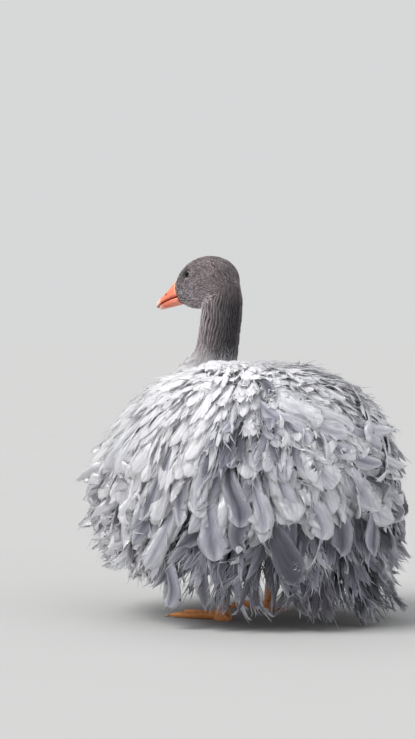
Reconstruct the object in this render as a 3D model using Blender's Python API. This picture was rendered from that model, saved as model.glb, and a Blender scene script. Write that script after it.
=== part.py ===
"""Sebastopol goose, standing, life size, in metres with +Z up. It faces -Y, and its left side is +X.

The coat is laid out in a shell round the body. A place in it has a turn (0 ahead, 90 at the goose's left,
180 at the tail), a fall (0 on the back, 1 under the belly) and a lift (0 on the flesh, 1 at the feather tips).
"""

import math
import random

import bmesh
import bpy
from mathutils import Matrix, Quaternion, Vector

# The coat's outline, where the breast slopes more and hangs less low than the rear
BACK_HEIGHT = 0.352
COAT_HALF_WIDTH = 0.188
COAT_HALF_LENGTH = 0.232
BODY_MIDDLE_Y = 0.005
REAR_WIDEST_HEIGHT, FRONT_WIDEST_HEIGHT = 0.182, 0.152
REAR_HEM_HEIGHT, FRONT_HEM_HEIGHT = 0.016, 0.091
REAR_SHOULDER, FRONT_SHOULDER = 0.74, 1.27
HEM_FALL = 0.86
HEM_TUCK = 0.11

# The flesh and down under the feathers
CORE_HALF_WIDTH = 0.112
CORE_HALF_LENGTH = 0.165
CORE_HALF_DEPTH = 0.102
CORE_HEIGHT = 0.230
CORE_TILT = 0.10
CORE_TAPER = 0.22

# The head, whose own axes are forward along the bill, left, and up
HEAD_PLACE = Vector((0.003, -0.043, 0.452))
HEAD_YAW = 19.0
HEAD_PITCH = 16.0
BILL_BASE = 0.067
MOUTH_LEVEL = 0.0015
MOUTH_GAP = 0.0004
EYE_FORWARD = 0.0372
EYE_UP = 0.0249
EYE_LEFT = 0.0189
EYE_RADIUS = 0.0046
LID_RADIUS, LID_OUT, LID_THICKNESS = 0.0040, 0.0024, 0.0010
NECK_FLUTES = 11
FURROW_DEPTH, FURROW_TWIST = 0.035, 1.6
NECK_RINGS, NECK_SIDES = 12, 33
NECK_CLEARANCE = 1.02

# The legs
HOCK_HEIGHT = 0.098
ANKLE_HEIGHT = 0.0145
LEG_SPACING = 0.058
LEFT_ANKLE_Y = 0.030
RIGHT_ANKLE_Y = -0.012
MIDDLE_TOE, HIND_TOE = 0.086, 0.026
WEB_HEIGHT, WEB_THICKNESS = 0.0014, 0.0016
WEB_REACH, WEB_HOLLOW = 0.84, 0.22

# The vanes, whose widths are shares along and across
VANE_WIDTHS = [(0, 0.30), (0.20, 0.74), (0.45, 1.0), (0.70, 0.94), (0.89, 0.62), (1, 0.16)]
VANE_ROOT_THICKNESS, VANE_TIP_THICKNESS = 0.0016, 0.0007
VANE_DRIFT, VANE_WAVE = 6.5, 2.8
VANE_BED = 0.86
ROOT_DEPTH = 0.007
TIP_START, TIP_RISE, TIP_LIFT, TIP_SWEEP = 0.62, 0.06, 0.17, 6.0
WING_FRONT, WING_REAR = 38, 149

# Tiers of vanes: first and last fall, count, width and reach of the shell
WING_TIERS = [
    (0.050, 0.38, 5, 0.044, 1.00),
    (0.120, 0.54, 6, 0.049, 1.00),
    (0.205, 0.67, 7, 0.052, 0.99),
    (0.310, 0.79, 8, 0.052, 0.98),
    (0.430, 0.87, 7, 0.056, 0.94),
]
BREAST_TIERS = [
    (0.300, 0.60, 5, 0.046, 1.00),
    (0.400, 0.73, 5, 0.050, 0.99),
    (0.500, 0.86, 5, 0.052, 0.96),
]
RUMP_TIERS = [
    (0.060, 0.31, 3, 0.042, 1.00),
    (0.150, 0.40, 4, 0.046, 0.99),
    (0.260, 0.48, 5, 0.044, 0.92),
]
VENT_TIERS = [
    (0.440, 0.72, 4, 0.050, 0.98),
    (0.560, 0.87, 5, 0.050, 0.95),
]

# Tiers of the tail: length, count, rise and spread to each side in degrees
TAIL_TIERS = [(0.116, 6, 0.012, 36), (0.098, 5, -0.006, 31)]
TAIL_HEIGHT = 0.212
TAIL_WIDTH = 0.034

# Pieces that touch keep this gap
GAP = 0.0003

COLOURS = {
    "coat": ((0.86, 0.86, 0.90), 0.85),
    "grey_plumage": ((0.27, 0.24, 0.25), 0.85),
    "bill": ((0.86, 0.30, 0.16), 0.40),
    "leg": ((0.80, 0.31, 0.14), 0.50),
    "eye": ((0.03, 0.02, 0.02), 0.10),
}


def clear_scene():
    for obj in list(bpy.data.objects):
        bpy.data.objects.remove(obj)


def material(name):
    found = bpy.data.materials.get(name)
    if found:
        return found
    colour, roughness = COLOURS[name]
    made = bpy.data.materials.new(name)
    made.use_nodes = True
    shader = made.node_tree.nodes["Principled BSDF"]
    shader.inputs["Base Color"].default_value = (*colour, 1)
    shader.inputs["Roughness"].default_value = roughness
    shader.inputs["Metallic"].default_value = 0
    return made


def solid(name, points, faces, finish="coat"):
    """A named object from points and faces."""
    mesh = bpy.data.meshes.new(name)
    mesh.from_pydata([tuple(p) for p in points], [], faces)
    mesh.materials.append(material(finish))
    obj = bpy.data.objects.new(name, mesh)
    bpy.context.scene.collection.objects.link(obj)
    return obj


def smooth_rows(rows, count):
    """Rows of numbers read at even steps along a smooth curve through them."""
    found = []
    for i in range(count):
        at = i * (len(rows) - 1) / (count - 1)
        k = min(int(at), len(rows) - 2)
        t = at - k
        around = [rows[min(max(k + j, 0), len(rows) - 1)] for j in (-1, 0, 1, 2)]
        found.append([
            0.5 * (2 * b + (c - a) * t + (2 * a - 5 * b + 4 * c - d) * t**2 + (3 * b - a - 3 * c + d) * t**3)
            for a, b, c, d in zip(*around)
        ])
    return found


def loft(name, rings, finish="coat"):
    """A closed solid through rings of points that run the same way round, with flat ends."""
    sides = len(rings[0])
    points = [p for ring in rings for p in ring]
    faces = []
    for r in range(len(rings) - 1):
        for s in range(sides):
            a, b = r * sides + s, r * sides + (s + 1) % sides
            faces.append((a, b, b + sides, a + sides))
    faces.append(tuple(reversed(range(sides))))
    faces.append(tuple(range(len(points) - sides, len(points))))
    return face_outwards(solid(name, points, faces, finish))


def face_outwards(obj):
    """Turns a closed mesh the right way out and splits its faces into triangles."""
    bm = bmesh.new()
    bm.from_mesh(obj.data)
    bmesh.ops.recalc_face_normals(bm, faces=bm.faces)
    bmesh.ops.triangulate(bm, faces=bm.faces)
    bm.to_mesh(obj.data)
    bm.free()
    return obj


def core_point(turn, fall, grown=0.0):
    """A place on the flesh, or on the flesh made larger all round."""
    across = math.sin(math.pi * fall)
    side, ahead = math.sin(math.radians(turn)), math.cos(math.radians(turn))
    back = -across * ahead
    width = (CORE_HALF_WIDTH + grown) * (1 - CORE_TAPER * max(0.0, back))
    y = (CORE_HALF_LENGTH + grown) * back
    z = CORE_HEIGHT + (CORE_HALF_DEPTH + grown) * math.cos(math.pi * fall) - CORE_TILT * y
    return Vector((width * across * side, BODY_MIDDLE_Y + y, z))


def coat_point(turn, fall):
    """A place on the outline that the feather tips reach."""
    side, ahead = math.sin(math.radians(turn)), math.cos(math.radians(turn))
    front = (1 + ahead) / 2
    widest = REAR_WIDEST_HEIGHT + (FRONT_WIDEST_HEIGHT - REAR_WIDEST_HEIGHT) * front
    if fall < 0.5:
        spread = math.sin(math.pi * fall) ** (REAR_SHOULDER + (FRONT_SHOULDER - REAR_SHOULDER) * front)
        z = widest + (BACK_HEIGHT - widest) * math.cos(math.pi * fall)
    else:
        drop = (fall - 0.5) / (HEM_FALL - 0.5)
        hem = REAR_HEM_HEIGHT + (FRONT_HEM_HEIGHT - REAR_HEM_HEIGHT) * front**1.5
        spread = 1 - HEM_TUCK * drop**2
        z = widest - (widest - hem) * drop
    return Vector((COAT_HALF_WIDTH * spread * side, BODY_MIDDLE_Y - COAT_HALF_LENGTH * spread * ahead, z))


def shell_point(turn, fall, lift):
    return core_point(turn, fall).lerp(coat_point(turn, fall), lift)


def core_rings(grown=0.0, rows=13, sides=24):
    falls = [(i + 0.35) / (rows - 0.3) for i in range(rows)]
    return [[core_point(360 * s / sides, fall, grown) for s in range(sides)] for fall in falls]


def largest_surface(obj):
    """Keeps only the largest closed surface of a mesh."""
    bm = bmesh.new()
    bm.from_mesh(obj.data)
    left, best = set(bm.verts), []
    while left:
        group, todo = [], [left.pop()]
        while todo:
            v = todo.pop()
            group.append(v)
            for edge in v.link_edges:
                other = edge.other_vert(v)
                if other in left:
                    left.remove(other)
                    todo.append(other)
        if len(group) > len(best):
            best = group
    keep = set(best)
    bmesh.ops.delete(bm, geom=[v for v in bm.verts if v not in keep], context="VERTS")
    bm.to_mesh(obj.data)
    bm.free()
    return obj


def combine(obj, pieces, operation, one_body=True):
    """Joins pieces to a solid, cuts them from it or keeps what they share, in one Boolean, and removes them."""
    group = bpy.data.collections.new("pieces")
    for piece in pieces:
        group.objects.link(piece)
    modifier = obj.modifiers.new(operation.lower(), "BOOLEAN")
    modifier.operation = operation
    modifier.operand_type = "COLLECTION"
    modifier.collection = group
    modifier.solver = "MANIFOLD"
    bpy.context.view_layer.update()
    graph = bpy.context.evaluated_depsgraph_get()
    made = bpy.data.meshes.new_from_object(obj.evaluated_get(graph))
    obj.modifiers.clear()
    obj.data = made
    for piece in pieces:
        bpy.data.objects.remove(piece)
    bpy.data.collections.remove(group)
    return largest_surface(obj) if one_body else obj


def ribbon(places, outwards, width, roll, twist):
    """A thin tapered blade along places, facing outwards, with both faces split into the same triangles."""
    points, faces = [], []
    for i, (s, share) in enumerate(VANE_WIDTHS):
        along = (places[min(i + 1, len(places) - 1)] - places[max(i - 1, 0)]).normalized()
        across = along.cross(outwards[i]).normalized()
        across.rotate(Quaternion(along, math.radians(roll + twist * s**2)))
        half = across * width * share / 2
        thick = across.cross(along) * (VANE_ROOT_THICKNESS + (VANE_TIP_THICKNESS - VANE_ROOT_THICKNESS) * s) / 2
        middle = places[i]
        points += [middle - half - thick, middle + half - thick, middle + half + thick, middle - half + thick]
    for i in range(0, len(points) - 4, 4):
        for a, b in ((0, 1), (1, 2), (3, 2), (0, 3)):
            faces += [(i + a, i + b, i + b + 4), (i + a, i + b + 4, i + a + 4)]
    last = len(points) - 4
    faces += [(0, 1, 2), (0, 2, 3), (last, last + 1, last + 2), (last, last + 2, last + 3)]
    return face_outwards(solid("vane", points, faces))


def vane(rng, turn, first_fall, last_fall, width, reach):
    """One long feather of the coat, waved, from its root in the flesh to a tip that curls outwards."""
    drift, wave = rng.uniform(-VANE_DRIFT, VANE_DRIFT), rng.uniform(-VANE_WAVE, VANE_WAVE)
    curl, sweep = rng.uniform(0.2, 1), rng.uniform(-TIP_SWEEP, TIP_SWEEP)
    last_fall += rng.uniform(-0.03, 0.03)
    places, outwards = [], []
    for s, _ in VANE_WIDTHS:
        tip = max(0.0, s - TIP_START) / (1 - TIP_START)
        at_turn = turn + drift * s + wave * math.sin(2 * math.pi * s) + sweep * tip**2
        at_fall = first_fall + (last_fall - first_fall) * s - TIP_RISE * curl * tip**2
        lift = reach * (VANE_BED * (1 - (1 - s) ** 2.8) + (1 - VANE_BED) * tip**1.5) + TIP_LIFT * curl * tip**2
        places.append(shell_point(at_turn, at_fall, lift))
        outwards.append((coat_point(at_turn, at_fall) - core_point(at_turn, at_fall)).normalized())
    places[0] = core_point(turn, first_fall, -ROOT_DEPTH)
    return ribbon(places, outwards, width, rng.uniform(5, 12), rng.uniform(-32, 32))


def tiers(rng, first_turn, last_turn, rows):
    """Tiers of vanes between two turns. Each tier gives its first and last fall, count, width and reach."""
    vanes = []
    for first_fall, last_fall, count, width, reach in rows:
        for i in range(count):
            share = 0.04 + 0.92 * i / (count - 1) + rng.uniform(-0.12, 0.12) / count
            turn = first_turn + (last_turn - first_turn) * share
            vanes.append(vane(rng, turn, first_fall + rng.uniform(-0.012, 0.012), last_fall, width, reach))
    return vanes


def sector(first_turn, last_turn):
    """A tall wedge round the body's upright axis from one turn to another, a little clear of its neighbours."""
    ways = []
    for i in range(5):
        turn = math.radians(first_turn + (last_turn - first_turn) * i / 4)
        way = Vector((COAT_HALF_WIDTH * math.sin(turn), -COAT_HALF_LENGTH * math.cos(turn), 0))
        ways.append(way.normalized())
    apex = Vector((0, BODY_MIDDLE_Y, 0)) + ways[2] * GAP / math.sin(ways[0].angle(ways[2]))
    return prism("sector", [apex] + [apex + way for way in ways], -0.1, 0.7)


def prism(name, outline, low, high, finish="coat"):
    """An upright solid on a flat outline."""
    count = len(outline)
    points = [Vector((p.x, p.y, z)) for z in (low, high) for p in outline]
    faces = [tuple(range(count)), tuple(range(count, 2 * count))]
    faces += [(i, (i + 1) % count, (i + 1) % count + count, i + count) for i in range(count)]
    return face_outwards(solid(name, points, faces, finish))


def clipped(vanes, zone, cutter):
    """Vanes kept to their own zone and clear of the piece that they would cross."""
    made = combine(vanes[0], vanes[1:], "UNION", False)
    combine(made, [zone], "INTERSECT", False)
    return combine(made, [cutter], "DIFFERENCE", False)


def torso():
    rng = random.Random(3)
    made = loft("torso", core_rings())
    breast = tiers(rng, -WING_FRONT, WING_FRONT, BREAST_TIERS)
    rear = tiers(rng, WING_REAR, 360 - WING_REAR, RUMP_TIERS + VENT_TIERS)
    front = clipped(breast, sector(-WING_FRONT, WING_FRONT), neck_cut())
    back = clipped(rear, sector(WING_REAR, 360 - WING_REAR), tail_cut())
    return combine(made, [front, back], "UNION")


def blade(name, side):
    """The wing's own flesh, a thin shell that lies over the flank."""
    columns, rows = 10, 7
    turns = [side * (WING_FRONT - 2 + (WING_REAR - WING_FRONT + 4) * i / (columns - 1)) for i in range(columns)]
    falls = [0.03 + 0.49 * i / (rows - 1) for i in range(rows)]
    inner = [[core_point(t, f, -0.004) for t in turns] for f in falls]
    outer = [[core_point(t, f, 0.007) for t in turns] for f in falls]
    points = [p for grid in (inner, outer) for row in grid for p in row]
    size = columns * rows
    faces = []
    for sheet in (0, size):
        for r in range(rows - 1):
            for c in range(columns - 1):
                a = sheet + r * columns + c
                faces.append((a, a + 1, a + 1 + columns, a + columns))
    rim = list(range(columns)) + [r * columns + columns - 1 for r in range(1, rows)]
    rim += [(rows - 1) * columns + c for c in range(columns - 2, -1, -1)]
    rim += [r * columns for r in range(rows - 2, 0, -1)]
    for a, b in zip(rim, rim[1:] + rim[:1]):
        faces.append((a, b, b + size, a + size))
    return face_outwards(solid(name, points, faces))


def wing(name, side):
    """The folded wing: a thin blade of flesh that lies on the flank, and its feathers in tiers."""
    rng = random.Random(11 + side)
    made = blade(name, side)
    combine(made, tiers(rng, side * WING_FRONT, side * WING_REAR, WING_TIERS), "UNION")
    combine(made, [sector(side * WING_FRONT, side * WING_REAR)], "INTERSECT")
    return combine(made, [loft("core_cut", core_rings(GAP)), neck_cut()], "DIFFERENCE")


def ellipse(centre, across, up, sides):
    """Points round an ellipse with the given half axes."""
    angles = [2 * math.pi * s / sides for s in range(sides)]
    return [centre + across * math.cos(a) + up * math.sin(a) for a in angles]


def tail_loft(name, rows):
    """A flat cone along the tail. Each row gives how far back it is, its half width and its half height."""
    rings = [
        ellipse(Vector((0, y, TAIL_HEIGHT)), Vector((width, 0, 0)), Vector((0, 0, height)), 12)
        for y, width, height in rows
    ]
    return loft(name, rings)


def tail_cut():
    """The room that the tail fan takes, which the rump and vent feathers stay out of."""
    return tail_loft("tail_cut", [(0.09, 0.050, 0.017), (0.19, 0.085, 0.022), (0.30, 0.160, 0.032)])


def tail():
    """The stub of the tail with its feathers in two fanned tiers."""
    rng = random.Random(5)
    rows = [(0.120, 0.030, 0.011), (0.160, 0.034, 0.011), (0.180, 0.030, 0.008), (0.195, 0.018, 0.004)]
    made = tail_loft("tail", rows)
    feathers = []
    for length, count, height, spread in TAIL_TIERS:
        for i in range(count):
            share = 2 * (i + 0.5) / count - 1
            angle = math.radians(spread * share)
            drift, curl = rng.uniform(-0.1, 0.1), rng.uniform(0.2, 1)
            places, outwards = [], []
            for s, _ in VANE_WIDTHS:
                way = Vector((math.sin(angle + drift * s), math.cos(angle + drift * s), 0))
                rise = height * (1 - (1 - s) ** 2) * (1 - 0.5 * share**2) + 0.006 * curl * max(0, s - 0.6) / 0.4
                places.append(Vector((0.014 * share, 0.148, TAIL_HEIGHT + rise)) + way * length * s)
                outwards.append(Vector((0, 0, 1)))
            feathers.append(ribbon(places, outwards, TAIL_WIDTH, 14 * share, rng.uniform(-14, 14)))
    combine(made, feathers, "UNION")
    combine(made, [sector(WING_REAR, 360 - WING_REAR)], "INTERSECT")
    return combine(made, [loft("core_cut", core_rings(GAP))], "DIFFERENCE")


NECK_ROWS = [
    # x, y, z, half width, half depth
    (0.000, -0.098, 0.262, 0.062, 0.062),
    (0.000, -0.096, 0.292, 0.056, 0.057),
    (0.000, -0.081, 0.320, 0.041, 0.043),
    (0.000, -0.062, 0.348, 0.0295, 0.0305),
    (0.001, -0.052, 0.378, 0.0270, 0.0280),
    (0.002, -0.045, 0.408, 0.0268, 0.0278),
    (0.003, -0.041, 0.436, 0.0265, 0.0275),
    (0.003, -0.039, 0.458, 0.0220, 0.0240),
]


def neck_rings(rows, sides):
    """Rings square to the neck's run, fluted into the furrows of its feathers."""
    path = smooth_rows(NECK_ROWS, rows)
    rings = []
    for i, (x, y, z, width, depth) in enumerate(path):
        after, before = path[min(i + 1, rows - 1)], path[max(i - 1, 0)]
        along = (Vector(after[:3]) - Vector(before[:3])).normalized()
        forward = Vector((1, 0, 0)).cross(along)
        share = i / (rows - 1)
        furrow = FURROW_DEPTH * max(0.0, math.sin(math.pi * min(1.0, max(0.0, (share - 0.22) / 0.70))))
        centre, ring = Vector((x, y, z)), []
        for s in range(sides):
            a = 2 * math.pi * s / sides
            size = 1 + furrow * math.cos(NECK_FLUTES * a + FURROW_TWIST * share)
            ring.append(centre + (Vector((width, 0, 0)) * math.cos(a) + forward * depth * math.sin(a)) * size)
        rings.append(ring)
    return rings


def neck_cut():
    """The neck's room, a little larger all round."""
    rings = neck_rings(NECK_RINGS, NECK_SIDES)
    for i, ring in enumerate(rings):
        middle = sum(ring, Vector()) / len(ring)
        rings[i] = [middle + (p - middle) * NECK_CLEARANCE for p in ring]
    rings[0] = [p - Vector((0, 0, 0.002)) for p in rings[0]]
    return loft("neck_cut", rings)


def head_matrix():
    yaw = Matrix.Rotation(math.radians(HEAD_YAW - 90), 4, "Z")
    pitch = Matrix.Rotation(math.radians(HEAD_PITCH), 4, "Y")
    return Matrix.Translation(HEAD_PLACE) @ yaw @ pitch


HEAD_ROWS = [
    # forward, crown, chin, half width
    (-0.0245, 0.0170, -0.0030, 0.0110),
    (-0.0185, 0.0275, -0.0150, 0.0195),
    (-0.0060, 0.0375, -0.0235, 0.0250),
    (0.0100, 0.0440, -0.0270, 0.0270),
    (0.0260, 0.0455, -0.0260, 0.0268),
    (0.0420, 0.0430, -0.0230, 0.0245),
    (0.0560, 0.0365, -0.0180, 0.0195),
    (BILL_BASE, 0.0268, -0.0100, 0.0142),
]


def head_rings(grown=0.0, rows=12, sides=20):
    rings = []
    for forward, crown, chin, width in smooth_rows(HEAD_ROWS, rows):
        middle = chin + 0.44 * (crown - chin)
        ring = []
        for s in range(sides):
            a = 2 * math.pi * s / sides
            up = math.sin(a)
            tall = (crown - middle if up > 0 else middle - chin) + grown
            ring.append(Vector((forward, (width + grown) * math.cos(a), middle + tall * up)))
        rings.append(ring)
    return rings


def ball(name, centre, radius, finish, segments=12, scale=(1, 1, 1)):
    mesh = bpy.data.meshes.new(name)
    bm = bmesh.new()
    bmesh.ops.create_uvsphere(bm, u_segments=segments, v_segments=segments - 4, radius=radius)
    bmesh.ops.scale(bm, vec=scale, verts=bm.verts)
    bmesh.ops.translate(bm, vec=centre, verts=bm.verts)
    bmesh.ops.triangulate(bm, faces=bm.faces)
    bm.to_mesh(mesh)
    bm.free()
    mesh.materials.append(material(finish))
    obj = bpy.data.objects.new(name, mesh)
    bpy.context.scene.collection.objects.link(obj)
    return obj


def eye_place(side):
    return Vector((EYE_FORWARD, side * EYE_LEFT, EYE_UP))


def lid(side, steps=12, sides=5):
    """The raised ring of the lids round an eye, in the head's own axes."""
    out = Vector((0.10, side, 0.12)).normalized()
    up = (Vector((0, 0, 1)) - out * out.z).normalized()
    ahead = up.cross(out)
    points, faces = [], []
    for i in range(steps):
        spoke = ahead * 1.12 * math.cos(2 * math.pi * i / steps) + up * 0.94 * math.sin(2 * math.pi * i / steps)
        middle = eye_place(side) + out * LID_OUT + spoke * LID_RADIUS
        for j in range(sides):
            b = 2 * math.pi * j / sides
            points.append(middle + (spoke * math.cos(b) + out * math.sin(b)) * LID_THICKNESS)
            after = (i + 1) % steps * sides
            faces.append((i * sides + j, i * sides + (j + 1) % sides, after + (j + 1) % sides, after + j))
    return face_outwards(solid("lid", points, faces, "grey_plumage"))


def head():
    made = loft("head", head_rings(), "grey_plumage")
    combine(made, [lid(1), lid(-1)], "UNION")
    sockets = [ball("socket", eye_place(side), EYE_RADIUS + GAP, "eye") for side in (1, -1)]
    combine(made, sockets, "DIFFERENCE")
    made.data.transform(head_matrix())
    return made


def eye(name, side):
    made = ball(name, eye_place(side), EYE_RADIUS, "eye")
    made.data.transform(head_matrix())
    return made


def neck():
    made = loft("neck", neck_rings(NECK_RINGS, NECK_SIDES), "grey_plumage")
    head_cut = loft("head_cut", head_rings(GAP))
    head_cut.data.transform(head_matrix())
    return combine(made, [head_cut, loft("core_cut", core_rings(GAP))], "DIFFERENCE")


def bill_rings(rows, waist, top, bottom, count, sides=14):
    """Rings of a mandible, widest at the waist, a share of its height, each half with its own roundness."""
    rings = []
    for forward, high, low, width in smooth_rows(rows, count):
        middle = low + waist * (high - low)
        ring = []
        for s in range(sides):
            across, up = math.cos(2 * math.pi * s / sides), math.sin(2 * math.pi * s / sides)
            height = (high - middle) * up**top if up > 0 else (low - middle) * (-up) ** bottom
            ring.append(Vector((forward, width * math.copysign(abs(across) ** 0.8, across), middle + height)))
        rings.append(ring)
    return rings


# Forward place, culmen, mouth line below it, half width
UPPER_BILL_ROWS = [
    (BILL_BASE + GAP, 0.0266, 0.0000, 0.0142),
    (0.0750, 0.0219, 0.0006, 0.0136),
    (0.0850, 0.0160, 0.0004, 0.0126),
    (0.0950, 0.0112, -0.0006, 0.0115),
    (0.1030, 0.0078, -0.0020, 0.0096),
    (0.1075, 0.0048, -0.0034, 0.0068),
    (0.1095, 0.0008, -0.0038, 0.0030),
]
# Forward place, mouth line above it, underside, half width
LOWER_BILL_ROWS = [
    (BILL_BASE + GAP, 0.0000, -0.0088, 0.0128),
    (0.0760, 0.0006, -0.0082, 0.0122),
    (0.0870, 0.0003, -0.0074, 0.0110),
    (0.0970, -0.0009, -0.0064, 0.0094),
    (0.1025, -0.0021, -0.0060, 0.0068),
    (0.1050, -0.0030, -0.0056, 0.0036),
]


def bill_upper():
    edge = MOUTH_LEVEL + MOUTH_GAP / 2
    rows = [(forward, high, edge + line, width) for forward, high, line, width in UPPER_BILL_ROWS]
    made = loft("bill_upper", bill_rings(rows, 0.20, 1.05, 0.55, 12), "bill")
    nostrils = [
        ball("nostril", Vector((0.0860, side * 0.0098, 0.0098)), 0.001, "bill", 10, (3.6, 2.2, 1.3))
        for side in (1, -1)
    ]
    combine(made, nostrils, "DIFFERENCE")
    made.data.transform(head_matrix())
    return made


def bill_lower():
    edge = MOUTH_LEVEL - MOUTH_GAP / 2
    rows = [(forward, edge + line, low, width) for forward, line, low, width in LOWER_BILL_ROWS]
    made = loft("bill_lower", bill_rings(rows, 0.80, 0.55, 0.9, 9), "bill")
    made.data.transform(head_matrix())
    return made


LEG_ROWS = [
    # height, forward of the ankle, half width, half depth
    (ANKLE_HEIGHT + GAP, 0.000, 0.0078, 0.0090),
    (0.0300, 0.001, 0.0062, 0.0078),
    (0.0550, -0.002, 0.0060, 0.0074),
    (0.0800, -0.006, 0.0070, 0.0086),
    (HOCK_HEIGHT, -0.008, 0.0105, 0.0125),
    (0.1180, -0.002, 0.0190, 0.0220),
    (0.1450, 0.006, 0.0280, 0.0330),
    (0.1700, 0.010, 0.0300, 0.0360),
]


def leg(name, x, y):
    """The shank up to the hock and the feathered thigh above it."""
    rings = []
    for z, forward, width, depth in smooth_rows(LEG_ROWS, 11):
        rings.append(ellipse(Vector((x, y - forward, z)), Vector((width, 0, 0)), Vector((0, depth, 0)), 12))
    return combine(loft(name, rings, "leg"), [loft("core_cut", core_rings(GAP))], "DIFFERENCE")


# Height, half width and half depth
PALM_ROWS = [
    (-0.002, 0.0120, 0.0130), (0.004, 0.0120, 0.0130),
    (0.009, 0.0098, 0.0112), (0.018, 0.0080, 0.0092),
]
# Share of the toe's length, height and share of its radius, with the joints a little thicker
TOE_ROWS = [
    (0.00, 0.0065, 1.25), (0.28, 0.0054, 1.02), (0.36, 0.0056, 1.10), (0.56, 0.0047, 0.86),
    (0.64, 0.0048, 0.95), (0.86, 0.0042, 0.74), (0.91, 0.0040, 0.46), (1.00, 0.0022, 0.12),
]


def heading(angle):
    """The way that a toe points, which is straight ahead at no angle."""
    return Vector((math.sin(angle), -math.cos(angle), 0))


def toe(length, splay, radius, root):
    """One toe with its claw, whose underside reaches past the floor, where the sole is cut flat."""
    across = Vector((math.cos(splay), math.sin(splay), 0))
    rings = []
    for share, z, size in TOE_ROWS:
        centre = root + heading(splay) * length * share + Vector((0, 0, z))
        rings.append(ellipse(centre, across * radius * size, Vector((0, 0, radius * size)), 6))
    return loft("toe", rings, "leg")


def web(root, toes):
    """The skin between the front toes, with hollow front edges."""
    edge = [root + Vector((0, 0.010, 0))]
    for (length, splay, _), (next_length, next_splay, _) in zip(toes, toes[1:]):
        for i in range(6):
            t = i / 6
            reach = (length + (next_length - length) * t) * (WEB_REACH - WEB_HOLLOW * math.sin(math.pi * t))
            edge.append(root + heading(splay + (next_splay - splay) * t) * reach)
    length, splay, _ = toes[-1]
    edge.append(root + heading(splay) * length * WEB_REACH)
    return prism("web", edge, WEB_HEIGHT, WEB_HEIGHT + WEB_THICKNESS, "leg")


def foot(name, x, y, side):
    """A webbed foot with three front toes and a small hind toe, its soles flat on the floor."""
    root = Vector((x, y, 0))
    toes = [
        (MIDDLE_TOE * 0.74, math.radians(side * -27), 0.0050),
        (MIDDLE_TOE, math.radians(side * 3), 0.0056),
        (MIDDLE_TOE * 0.93, math.radians(side * 31), 0.0052),
    ]
    made = loft(name, [
        ellipse(root + Vector((0, 0, z)), Vector((width, 0, 0)), Vector((0, depth, 0)), 12)
        for z, width, depth in PALM_ROWS
    ], "leg")
    pieces = [toe(length, splay, radius, root) for length, splay, radius in toes]
    pieces.append(toe(HIND_TOE, math.radians(180 - side * 25), 0.0034, root + Vector((0, 0.004, 0))))
    combine(made, pieces + [web(root, toes)], "UNION")
    around = [root + Vector((0.2 * i, 0.2 * j, 0)) for i, j in ((-1, -1), (1, -1), (1, 1), (-1, 1))]
    floor = prism("floor_cut", around, -0.1, 0)
    above = prism("ankle_cut", around, ANKLE_HEIGHT, 0.1)
    return combine(made, [floor, above], "DIFFERENCE")


def centre_on_floor():
    """Moves everything so that the origin is on the floor, at the middle of the goose's own box."""
    corners = [v.co for obj in bpy.context.scene.objects for v in obj.data.vertices]
    shift = Vector([-(min(c[k] for c in corners) + max(c[k] for c in corners)) / 2 for k in (0, 1)] + [0])
    for obj in bpy.context.scene.objects:
        obj.data.transform(Matrix.Translation(shift))


def build():
    clear_scene()
    torso()
    neck()
    head()
    bill_upper()
    bill_lower()
    eye("eye_left", 1)
    eye("eye_right", -1)
    wing("wing_left", 1)
    wing("wing_right", -1)
    tail()
    leg("leg_left", LEG_SPACING, LEFT_ANKLE_Y)
    leg("leg_right", -LEG_SPACING, RIGHT_ANKLE_Y)
    foot("foot_left", LEG_SPACING, LEFT_ANKLE_Y, 1)
    foot("foot_right", -LEG_SPACING, RIGHT_ANKLE_Y, -1)
    centre_on_floor()


build()
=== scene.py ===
"""The looks of a standing Sebastopol goose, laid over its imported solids, in metres with +Z up.

The goose faces -Y. The coat is laid out in a shell round the body, as in the solids: a place in it has a turn
(0 ahead, 90 at the goose's left, 180 at the tail), a fall (0 on the back, 1 under the belly) and a lift
(0 on the flesh, 1 at the feather tips).
"""

import math

import bpy
import numpy as np
from mathutils import Matrix, Vector
from mathutils.bvhtree import BVHTree


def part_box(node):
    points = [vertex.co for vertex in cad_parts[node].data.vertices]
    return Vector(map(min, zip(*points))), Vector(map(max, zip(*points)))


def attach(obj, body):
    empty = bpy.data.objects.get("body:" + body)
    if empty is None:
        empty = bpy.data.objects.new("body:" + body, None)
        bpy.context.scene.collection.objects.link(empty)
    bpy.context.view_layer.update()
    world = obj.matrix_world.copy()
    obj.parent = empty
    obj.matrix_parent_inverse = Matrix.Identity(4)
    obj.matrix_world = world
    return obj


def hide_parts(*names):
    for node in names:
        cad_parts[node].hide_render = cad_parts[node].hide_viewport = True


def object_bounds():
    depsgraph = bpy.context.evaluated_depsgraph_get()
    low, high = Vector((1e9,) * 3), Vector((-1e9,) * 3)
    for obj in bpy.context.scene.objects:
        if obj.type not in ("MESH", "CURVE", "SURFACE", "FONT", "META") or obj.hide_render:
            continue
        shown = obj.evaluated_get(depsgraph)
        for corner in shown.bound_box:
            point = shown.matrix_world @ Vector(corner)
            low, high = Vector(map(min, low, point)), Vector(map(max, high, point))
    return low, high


bl_info = {
    "name": "Sebastopol Goose",
    "version": (1, 0, 0),
    "blender": (4, 5, 0),
    "location": "View3D > Sidebar > Goose",
    "description": "Dresses the solids of a standing goose in skin, feathers, bill, eyes, legs and feet",
    "category": "Object",
}

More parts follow.
